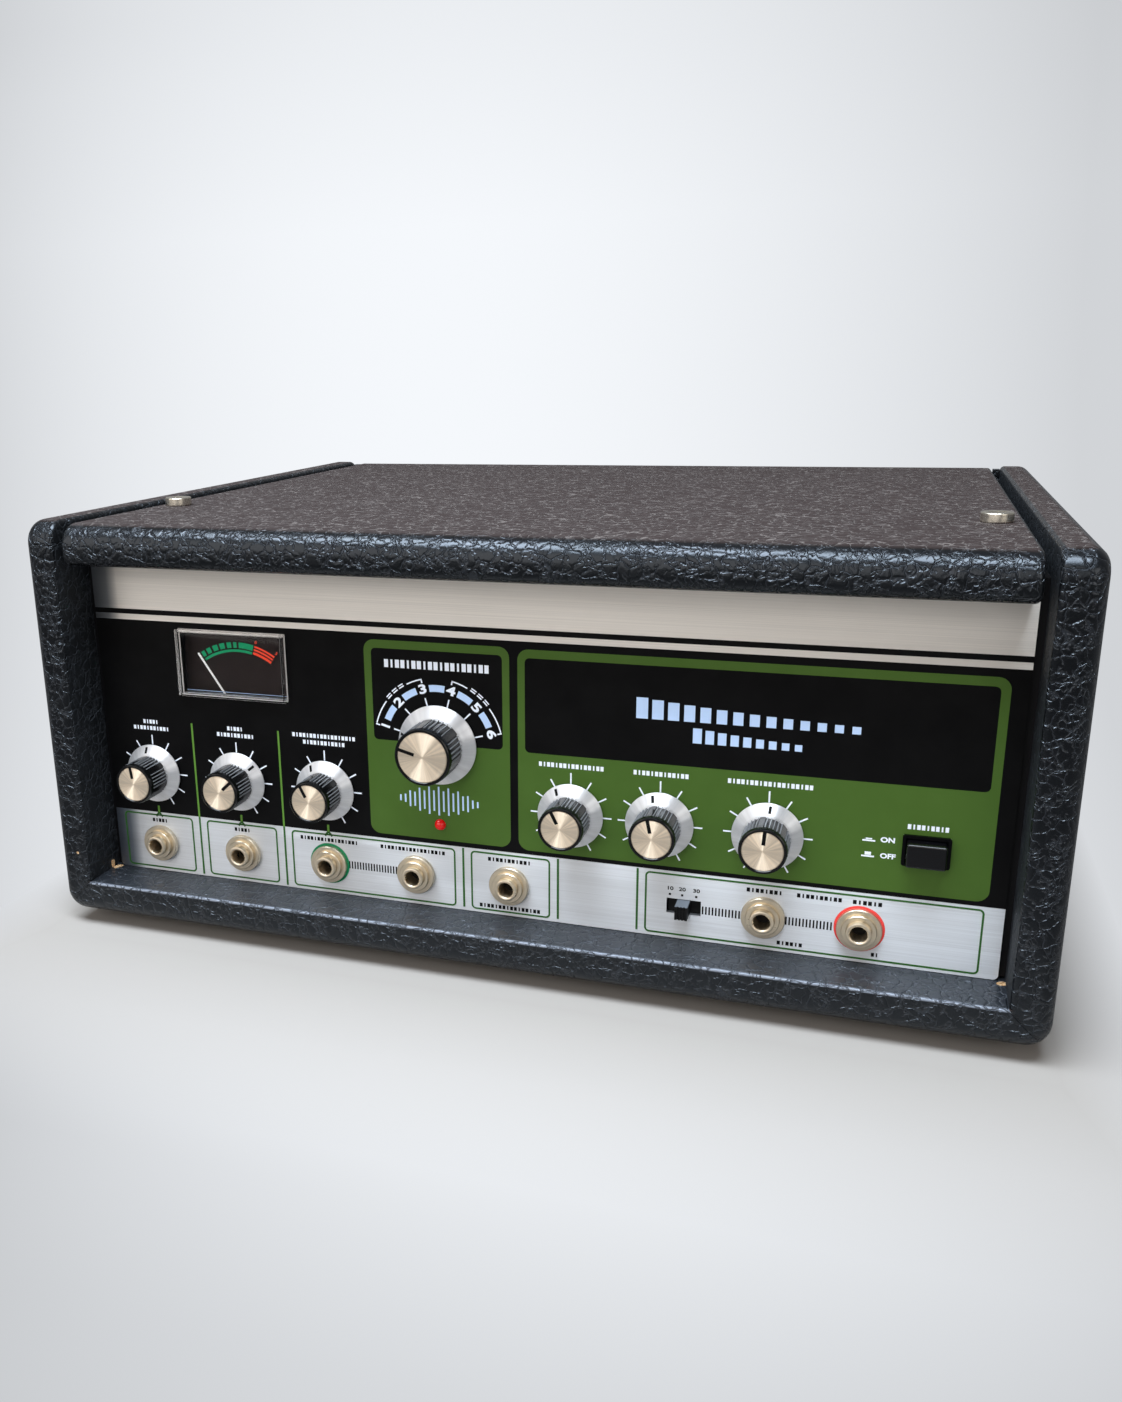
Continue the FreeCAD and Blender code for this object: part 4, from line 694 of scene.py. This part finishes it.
powerMarks = {"words": (("ON", 148.6, 72.9, 1.2), ("OFF", 149.0, 66.5, 1.15)), "height": 1.9, "weight": 0.04,
              "buttons": ((141.9, 72.2, 0.5), (141.9, 65.9, 1.3)), "plate": (4.6, 0.6), "stem": 2.3}
for text, x, z, wide in powerMarks["words"]:
    addText(work, text, x, z, powerMarks["height"], wide, 0, powerMarks["weight"])
for x, z, rise in powerMarks["buttons"]:
    addBar(work, x, z, *powerMarks["plate"])
    addBar(work, x, z + rise / 2 + 0.5, powerMarks["stem"], rise)
printLayer("panel_white_print", work, "whiteInk", 0.08, 0.03)

work = bmesh.new()
for step in range(5):
    turn = selector["angle"] + selector["step"] * (step + 0.5)
    addArc(work, selector["x"], selector["z"], *selector["band"], turn - 8, turn + 8)
blockRows = (
    {"count": 14, "x": 55.5, "low": 113.0, "pitch": 6.1, "width": 4.6, "height": 8.4, "shrink": 0.92},
    {"count": 9, "x": 77.0, "low": 104.6, "pitch": 4.7, "width": 3.4, "height": 6.0, "shrink": 0.90},
)
motif = {"x": -29.6, "low": 63.8, "high": 76.6, "bars": 17, "pitch": 2.15}
for step in range(motif["bars"]):
    share = (step - (motif["bars"] - 1) / 2) / ((motif["bars"] + 1) / 2)
    tall = (motif["high"] - motif["low"]) * (1 - share * share) * (1.0 if step % 2 == 0 else 0.72)
    x = motif["x"] + share * motif["pitch"] * (motif["bars"] + 1) / 2
    addBar(work, x, (motif["low"] + motif["high"]) / 2, 0.75, tall)
for row in blockRows:
    for step in range(row["count"]):
        tall = row["height"] * row["shrink"] ** step
        addBar(work, row["x"] + step * row["pitch"], row["low"] + tall / 2, row["width"] * 0.97 ** step, tall)
printLayer("panel_pale_print", work, "paleInk", 0.08, 0.03)

# green lines on the bare strip, and the dividers that rise from it
strip = {
    "boxes": ((-186.5, -150.2), (-143.0, -107.2), (-100.0, -22.8), (-16.0, 18.7), (58.2, 184.2)),
    "low": 23.0, "high": 49.6, "radius": 2.0, "line": 0.75,
    "longDividers": (-146.5, -103.5), "shortDividers": (-19.3, 22.0, 55.1), "divider": 0.9,
    "ring": (8.05, 9.4),
    "marks": ((-72.3, -48.5, 36.2), (81.5, 96.5, 35.3), (113.7, 131.8, 35.3)), "markPitch": 1.3,
    "switchXs": (68.3, 73.2, 78.8),
}
work = bmesh.new()
low, high, line = strip["low"], strip["high"], strip["line"]
for left, right in strip["boxes"]:
    addRounded(work, left, right, low, high, strip["radius"])
    addRounded(work, left + line, right - line, low + line, high - line, strip["radius"] - line)
fillOutlines(work)
dividers = bmesh.new()
for x in strip["longDividers"]:
    addBar(dividers, x, 36.6, strip["divider"], 28.0)
for x in strip["shortDividers"]:
    addBar(dividers, x, 36.8, strip["divider"], 27.0)
for x in inputXs:
    for side in (-1, 1):
        addBar(dividers, x + side * 0.9, high, 1.0, 2.6, -side * 40)
join(work, dividers)
printLayer("strip_green_lines", work, "stripGreen", 0.05)

work = bmesh.new()
for x in strip["longDividers"]:
    addBar(work, x, 72.8, strip["divider"], 44.4)
for x in inputXs:
    addBar(work, x, 52.2, 1.0, 3.4)
printLayer("field_green_lines", work, "lineGreen", 0.05)

for ringName, x, ink in (("strip_green_ring", -81.8, "tealInk"), ("strip_red_ring", 140.9, "redInk")):
    work = bmesh.new()
    addArc(work, x, jackZ, *strip["ring"], 0, 360, 48)
    printLayer(ringName, work, ink, 0.05)

work = bmesh.new()
for start, end, middle in strip["marks"]:
    for step in range(int((end - start) / strip["markPitch"]) + 1):
        addBar(work, start + step * strip["markPitch"], middle, 0.62, 3.4)
for x, z, wide, tall, count in labels["black"]:
    addSign(work, x, z, wide, tall, count)
for step, x in enumerate(strip["switchXs"]):
    addBar(work, x, 40.7, 0.9, 0.9)
    addText(work, str(10 * (step + 1)), x, 43.2, 1.5, 1.3, 0, 0.03)
printLayer("strip_black_marks", work, "blackInk", 0.0)
print("panel printed")


# knobs
smallKnob = {"radius": 9.2, "front": 17.8, "cap": 7.75, "skirt": 13.5, "ridge": 0.6}
largeKnob = {"radius": 12.15, "front": 19.0, "cap": 10.55, "skirt": 17.0, "ridge": 0.7}
skirtBack, skirtRim, skirtFront = 0.9, 1.9, 4.6


def knobBody(size):
    # a barrel with six smooth lands, sunk a little between them where the ribs stand, and a smooth lip in front
    r, front = size["radius"], size["front"]
    work = bmesh.new()
    ring = bmesh.ops.create_circle(work, cap_ends=True, radius=r, segments=240,
                                   matrix=Matrix.Translation((0, 0, skirtFront)))["verts"]
    cap = size["cap"]
    levels = ((skirtFront, r, 1), (front - 2.5, r - 0.05, 1), (front - 2.2, r - 0.15, 0),
              (front - 0.7, r - 0.2, 0), (front - 0.25, r - 0.32, 0), (front, r - 0.65, 0),
              (front, cap + 0.22, 0), (front - 0.2, cap + 0.05, 0), (front - 0.9, cap + 0.02, 0))
    edges = list(work.edges)
    for number, (height, radius, ribbed) in enumerate(levels):
        if number:
            made = bmesh.ops.extrude_edge_only(work, edges=edges)["geom"]
            ring = [item for item in made if isinstance(item, bmesh.types.BMVert)]
            edges = [item for item in made
                     if isinstance(item, bmesh.types.BMEdge) and all(v in ring for v in item.verts)]
        for vert in ring:
            angle = math.degrees(math.atan2(vert.co.x, vert.co.y)) % 60
            away = radius - ribbed * size["ridge"] * (0.2 if 42 < angle < 58 else 1.0)
            a = math.atan2(vert.co.x, vert.co.y)
            vert.co = (away * math.sin(a), away * math.cos(a), height)
    bmesh.ops.edgeloop_fill(work, edges=edges)
    return work


def knobRibs(size):
    # five narrow ribs in each of six groups
    low, high, ridge = skirtFront + 0.1, size["front"] - 2.3, size["ridge"]
    spot = Matrix.Translation((0, size["radius"] - ridge / 2 - 0.02, (low + high) / 2))
    rib = Matrix.Diagonal((0.30, ridge, high - low, 1))
    work = bmesh.new()
    for number in range(30):
        angle = number // 5 * 60 + number % 5 * 9.6 + 1.5
        turn = Matrix.Rotation(-math.radians(angle), 4, "Z")
        bmesh.ops.create_cube(work, size=1, matrix=turn @ spot @ rib)
    return work


def makeControl(name, x, z, angle, size):
    nodes = (name + "_knob", name + "_metal")
    a = math.radians(angle)
    barrel, ribs = place(knobBody(size), x, panelY, z), place(knobRibs(size), x, panelY, z)
    finishPiece(name + "_barrel", barrel, "knobPlastic", name, nodes[:1], 28)
    # painted highlights: the ribs get a pale grey in place of the knob's black
    finishPiece(name + "_ribs", ribs, "ribHighlightGrey", name, (), 28)
    front, cap, skirt = size["front"], size["cap"], size["skirt"]
    lid = turned([(0.12, front - 0.1), (cap * 0.5, front - 0.1), (cap - 0.35, front - 0.1), (cap, front - 0.4),
                  (cap, front - 0.7), (0.12, front - 0.7)], 96)
    turningMap(lid)
    finishPiece(name + "_cap", place(lid, x, panelY, z), "spunCap", name, (), 30)
    neck = size["radius"] + 0.6
    slope = (skirt - neck) / (skirtFront - skirtRim)
    disc = turned([(3.0, 3.5), (7.6, 3.5), (7.6, skirtBack), (skirt - 0.25, skirtBack), (skirt, skirtBack + 0.25),
                   (skirt, skirtRim - 0.25), (skirt - 0.3, skirtRim), (neck + 0.1, skirtFront - 0.06),
                   (neck - 0.1, skirtFront), (3.0, skirtFront)], 96)
    spindle = turned([(0, -9.0), (3.0, -9.0), (3.0, front - 4.0), (0, front - 4.0)], 32, closed=False)
    join(disc, spindle)
    turningMap(disc)
    finishPiece(name + "_skirt", place(disc, x, panelY, z), "spunSkirt", name, nodes[1:], 25)
    marks = bmesh.new()
    addTick(marks, 0, 0, angle, cap * 0.34, cap + 0.15, 1.4)
    thicken(marks, 0.05)
    bmesh.ops.translate(marks, vec=(0, 0, front - 0.1), verts=marks.verts)
    line = bmesh.new()
    addBar(line, 0, 0, 1.1, 3.0)
    thicken(line, 0.05)
    middle = (neck + skirt) / 2 - 0.15
    lean = Matrix.Rotation(-math.atan(1 / slope), 4, "X")
    height = skirtFront - (middle - neck) / slope
    turn = Matrix.Rotation(-a, 4, "Z")
    bmesh.ops.transform(line, matrix=turn @ Matrix.Translation((0, middle, height)) @ lean, verts=line.verts)
    join(marks, line)
    finishPiece(name + "_pointer", place(marks, x, panelY, z), "blackInk", name, (), 30)


for name, (x, z, angle) in controls.items():
    makeControl(name, x, z, angle, smallKnob)
makeControl("mode_selector", selector["x"], selector["z"], selector["angle"], largeKnob)
print("knobs made")


# jack sockets: radius and height pairs of the flange nut and of the bush
jackProfile = {
    "flange": [(4.85, 0.05), (8.45, 0.05), (8.45, 1.85), (8.25, 2.05), (6.6, 2.05), (6.6, 3.3), (6.35, 3.6),
               (4.85, 3.6)],
    "bush": [(3.2, -1.9), (4.75, -1.9), (4.75, 5.5), (4.6, 5.85), (4.3, 6.0), (3.8, 6.0), (3.4, 5.8), (3.2, 5.4)],
}
flanges = bmesh.new()
bushes = bmesh.new()
bores = bmesh.new()
for x in jackXs:
    join(flanges, place(turned(jackProfile["flange"], 64), x, panelY, jackZ))
    join(bushes, place(turned(jackProfile["bush"], 48), x, panelY, jackZ))
    body = bmesh.new()
    block = Matrix.Translation((0, 0, -15.0)) @ Matrix.Diagonal((15, 15, 26, 1))
    bmesh.ops.create_cube(body, size=1, matrix=block)
    bmesh.ops.bevel(body, geom=list(body.edges), offset=0.6, affect="EDGES", segments=2, profile=0.5, material=-1)
    join(bores, place(body, x, panelY, jackZ))
    floor = turned([(0, -1.95), (3.2, -1.95), (3.2, -1.7), (0, -1.7)], 32, closed=False)
    join(bores, place(floor, x, panelY, jackZ))
finishPiece("jack_flange_nuts", flanges, "nickel", "cabinet", ("jack_nuts",), 30)
finishPiece("jack_bushes", bushes, "nickel", "cabinet", ("jack_sockets",), 40)
finishPiece("jack_bodies", bores, "bore", "cabinet", (), 30)
print("jacks made")


# level meter
dial = {
    "x": -124.05, "z": 99.0, "faceY": -132.1,
    "greenArc": (28.5, 29.6), "blocks": (30.2, 32.7), "redArcs": ((28.8, 29.9), (30.5, 31.3), (31.9, 32.7)),
    "greenFrom": -33, "turnsRed": 15, "redTo": 33,
    "blockTurns": ((-33, -30), (-28, -24.2), (-22, -17.5), (-15.6, -11.2), (-9, -5.2), (-3.2, -0.4), (1.5, 14)),
    "digits": (("0", 15.5), ("3", 33)), "digitsAt": 34.2,
}


def meterCover():
    # a clear hood: an open box with rounded front edges, its wall turned inwards
    width, height = meter["width"], meter["high"] - meter["low"]
    work = bmesh.new()
    centre = Matrix.Translation((meter["x"], (meter["low"] + meter["high"]) / 2, 1.65))
    bmesh.ops.create_cube(work, size=1, matrix=centre @ Matrix.Diagonal((width, height, 3.3, 1)))
    back = [face for face in work.faces if face.normal.z < -0.9]
    bmesh.ops.delete(work, geom=back, context="FACES_ONLY")
    rims = [edge for edge in work.edges if not edge.is_boundary]
    bmesh.ops.bevel(work, geom=rims, offset=0.55, affect="EDGES", segments=3, profile=0.5, material=-1)
    bmesh.ops.solidify(work, geom=list(work.faces), thickness=meter["wall"])
    bmesh.ops.transform(work, matrix=facing(panelY), verts=work.verts)
    return work


finishPiece("meter_hood", meterCover(), "hood", "cabinet", ("meter_cover",), 40)
dressNode("meter_case", "mattBlack")
dressNode("meter_dial", "dial")

work = bmesh.new()
addArc(work, dial["x"], dial["z"], *dial["greenArc"], dial["greenFrom"], dial["turnsRed"] - 1)
for start, end in dial["blockTurns"]:
    addArc(work, dial["x"], dial["z"], *dial["blocks"], start, end)
printLayer("dial_green_marks", work, "dialGreen", 0.0, 0.03, dial["faceY"])
work = bmesh.new()
for inner, outer in dial["redArcs"]:
    addArc(work, dial["x"], dial["z"], inner, outer, dial["turnsRed"], dial["redTo"])
for text, turn in dial["digits"]:
    a = math.radians(turn)
    x, z = dial["x"] + dial["digitsAt"] * math.sin(a), dial["z"] + dial["digitsAt"] * math.cos(a)
    addText(work, text, x, z, 1.3, 1.1, turn, 0.02)
printLayer("dial_red_marks", work, "dialRed", 0.0, 0.03, dial["faceY"])
# a pale line on the hood's inner bottom edge: a painted highlight where the clear edge catches the light
work = bmesh.new()
addBar(work, meter["x"], 110.35, 49.4, 0.28)
printLayer("meter_edge_highlight", work, "paleInk", -2.4, 0.1)
dressNode("meter_needle", "dialWhite")
print("meter made")


# lamp, power button and level switch
dressNode("indicator_lamp", "redLens")
dressNode("power_bezel", "bezelBlack")
dressNode("power_button", "glossBlack")
dressNode("level_switch", "mattBlack")
dressNode("level_slider", "slider")
print("switches made")


# the parts behind the panel and under the lid, and the back
finishes = {
    ("zinc", "zinc_steel"): ("rear_plate", "fixing_screws", "potentiometers", "mode_switch", "control_nuts",
                             "chassis_tray", "deck_plate", "standoffs", "deck_pins", "pinch_arm", "solenoid"),
    ("brightSteel", "bright_steel"): ("head_bridge", "tape_heads", "capstan", "solenoid_plunger"),
    ("mattBlack", "black_plastic"): ("cord_gland", "fuse_holder", "power_switch", "tape_chamber"),
    ("mattBlack", "black_steel"): ("panel_brackets",),
    ("rubber", "rubber"): ("rubber_feet", "pinch_roller"),
    ("knurled", "nickel"): ("thumbscrew_left", "thumbscrew_right"),
    ("clear", "clear_plastic"): ("chamber_cover",),
    ("tape", "tape_brown"): ("tape_loop",),
    ("motor", "motor_grey"): ("drive_motor",),
    ("core", "transformer_iron"): ("power_transformer",),
    ("board", "board_green"): ("circuit_board",),
}
for (material, slotName), nodes in finishes.items():
    for node in nodes:
        dressNode(node, material)
print("inner parts dressed")


# camera
lens = {"place": (143.34, -591.23, 247.29), "focal": 31.50, "shiftX": 0.0735, "shiftY": 0.0145,
        "right": (0.94237176, 0.33390725, -0.02100971), "down": (0.07510204, -0.27231538, -0.95927265),
        "forward": (-0.32602936, 0.90241359, -0.28169944)}
camera = bpy.data.objects.new("camera", bpy.data.cameras.new("camera"))
bpy.context.scene.collection.objects.link(camera)
axes = [lens["right"], [-v for v in lens["down"]], [-v for v in lens["forward"]]]
camera.matrix_world = Matrix.Translation([v * mm for v in lens["place"]]) @ Matrix(axes).transposed().to_4x4()
camera.data.sensor_width = 36
camera.data.lens = lens["focal"]
camera.data.shift_x = lens["shiftX"]
camera.data.shift_y = lens["shiftY"]
camera.data.clip_start = 0.01
bpy.context.scene.camera = camera


# floor and backdrop: paper that keeps the object's shadow near it, and farther away shows pale with a painted
# pool of light
stage = {"half": 6.0, "wallAt": 1.6, "wallTop": 5.0, "radius": 1.2, "paper": srgb(162, 157, 152),
         "glow": srgb(245, 248, 252), "near": 0.01, "far": 0.12, "halfWidth": 0.209, "halfDepth": 0.16,
         "sideStretch": 3.0, "mirrored": 0.40}


def makePaper():
    material = newMaterial("stagePaper", stage["paper"], 0.9, Specular_IOR_Level=0.2)
    tree = material.node_tree
    spot = axesOf(material, addNode(material, "TexCoord").outputs["Object"])
    # the pale pool of light widens towards the wall
    middle = rangeOf(material, spot["Y"], -0.3, 1.5, 0.05, -0.64)
    reach = rangeOf(material, spot["Y"], -0.3, 1.5, 0.20, 0.95)
    aside = calc(material, "DIVIDE", calc(material, "SUBTRACT", spot["X"], middle), reach)
    aside = calc(material, "POWER", calc(material, "ABSOLUTE", aside), 2.0)
    sides = rangeOf(material, aside, 0.0, 1.1, 1.0, 0.70)
    front = ramp(material, rangeOf(material, spot["Y"], -1.4, 0.0),
                 [(0.0, (0.20,) * 3), (0.5, (0.34,) * 3), (0.74, (0.74,) * 3), (0.84, (1.0,) * 3)])
    top = rangeOf(material, spot["Z"], 0.45, 0.85, 1.0, 0.90)
    strength = calc(material, "MULTIPLY", calc(material, "MULTIPLY", sides, front), top)
    rays = addNode(material, "LightPath").outputs
    dimmed = rangeOf(material, rays["Is Glossy Ray"], 0.0, 1.0, 1.0, stage["mirrored"])
    strength = calc(material, "MULTIPLY", strength, dimmed)
    glow = addNode(material, "Emission", {"Color": (*stage["glow"], 1), "Strength": strength}).outputs[0]
    seen = calc(material, "ADD", rays["Is Camera Ray"], rays["Is Glossy Ray"])
    seen = calc(material, "ADD", seen, rays["Is Transmission Ray"], clamp=True)
    # how far outside the object's footprint a point lies, counted more to the sides
    beside = calc(material, "SUBTRACT", calc(material, "ABSOLUTE", spot["X"]), stage["halfWidth"])
    ahead = calc(material, "SUBTRACT", calc(material, "ABSOLUTE", spot["Y"]), stage["halfDepth"])
    away = calc(material, "MAXIMUM", calc(material, "MULTIPLY", beside, stage["sideStretch"]), ahead)
    distant = rangeOf(material, away, stage["near"], stage["far"])
    mix = addNode(material, "MixShader", {0: calc(material, "MULTIPLY", seen, distant),
                                          1: tree.nodes["Principled BSDF"].outputs[0], 2: glow})
    tree.links.new(mix.outputs[0], tree.nodes["Material Output"].inputs["Surface"])
    return material


def makeStage():
    work = bmesh.new()
    chain = [work.verts.new((-stage["half"], y, z)) for y, z in ((-stage["half"], 0), (stage["wallAt"], 0),
                                                                 (stage["wallAt"], stage["wallTop"]))]
    for pair in zip(chain, chain[1:]):
        work.edges.new(pair)
    bmesh.ops.bevel(work, geom=[chain[1]], offset=stage["radius"], affect="VERTICES", segments=24, profile=0.5,
                    material=-1)
    made = bmesh.ops.extrude_edge_only(work, edges=list(work.edges))["geom"]
    side = [item for item in made if isinstance(item, bmesh.types.BMVert)]
    bmesh.ops.translate(work, vec=(2 * stage["half"], 0, 0), verts=side)
    bmesh.ops.recalc_face_normals(work, faces=work.faces)
    for face in work.faces:
        face.smooth = True
    mesh = bpy.data.meshes.new("stage")
    work.to_mesh(mesh)
    work.free()
    mesh.materials.append(makePaper())
    floor = bpy.data.objects.new("stage", mesh)
    bpy.context.scene.collection.objects.link(floor)


makeStage()

world = bpy.data.worlds.new("studio")
bpy.context.scene.world = world
world.use_nodes = True
sky = {"Color": (0.93, 0.95, 1.0, 1), "Strength": 0.2}
for socket, value in sky.items():
    world.node_tree.nodes["Background"].inputs[socket].default_value = value

lights = {
    "overhead": {"size": (1.25, 0.5), "place": (-0.18, -0.45, 1.25), "aim": (-0.1, -0.1, 0.15), "watts": 34,
                 "color": (0.82, 0.91, 1.0)},
    "front": {"size": (3.4, 2.0), "place": (-1.05, -2.2, 1.0), "aim": (0, 0, 0.1), "watts": 35,
              "color": (1.0, 0.95, 0.90)},
    "side": {"size": (1.2, 1.2), "place": (1.6, -1.6, 0.7), "aim": (0, 0, 0.1), "watts": 9,
             "color": (1.0, 0.95, 0.88)},
}
for name, light in lights.items():
    bulb = bpy.data.lights.new(name, "AREA")
    bulb.shape = "RECTANGLE"
    bulb.size, bulb.size_y = light["size"]
    bulb.energy = light["watts"]
    bulb.color = light["color"]
    holder = bpy.data.objects.new(name, bulb)
    holder.location = light["place"]
    holder.rotation_euler = (Vector(light["aim"]) - Vector(light["place"])).to_track_quat("-Z", "Y").to_euler()
    bpy.context.scene.collection.objects.link(holder)
print("studio set")
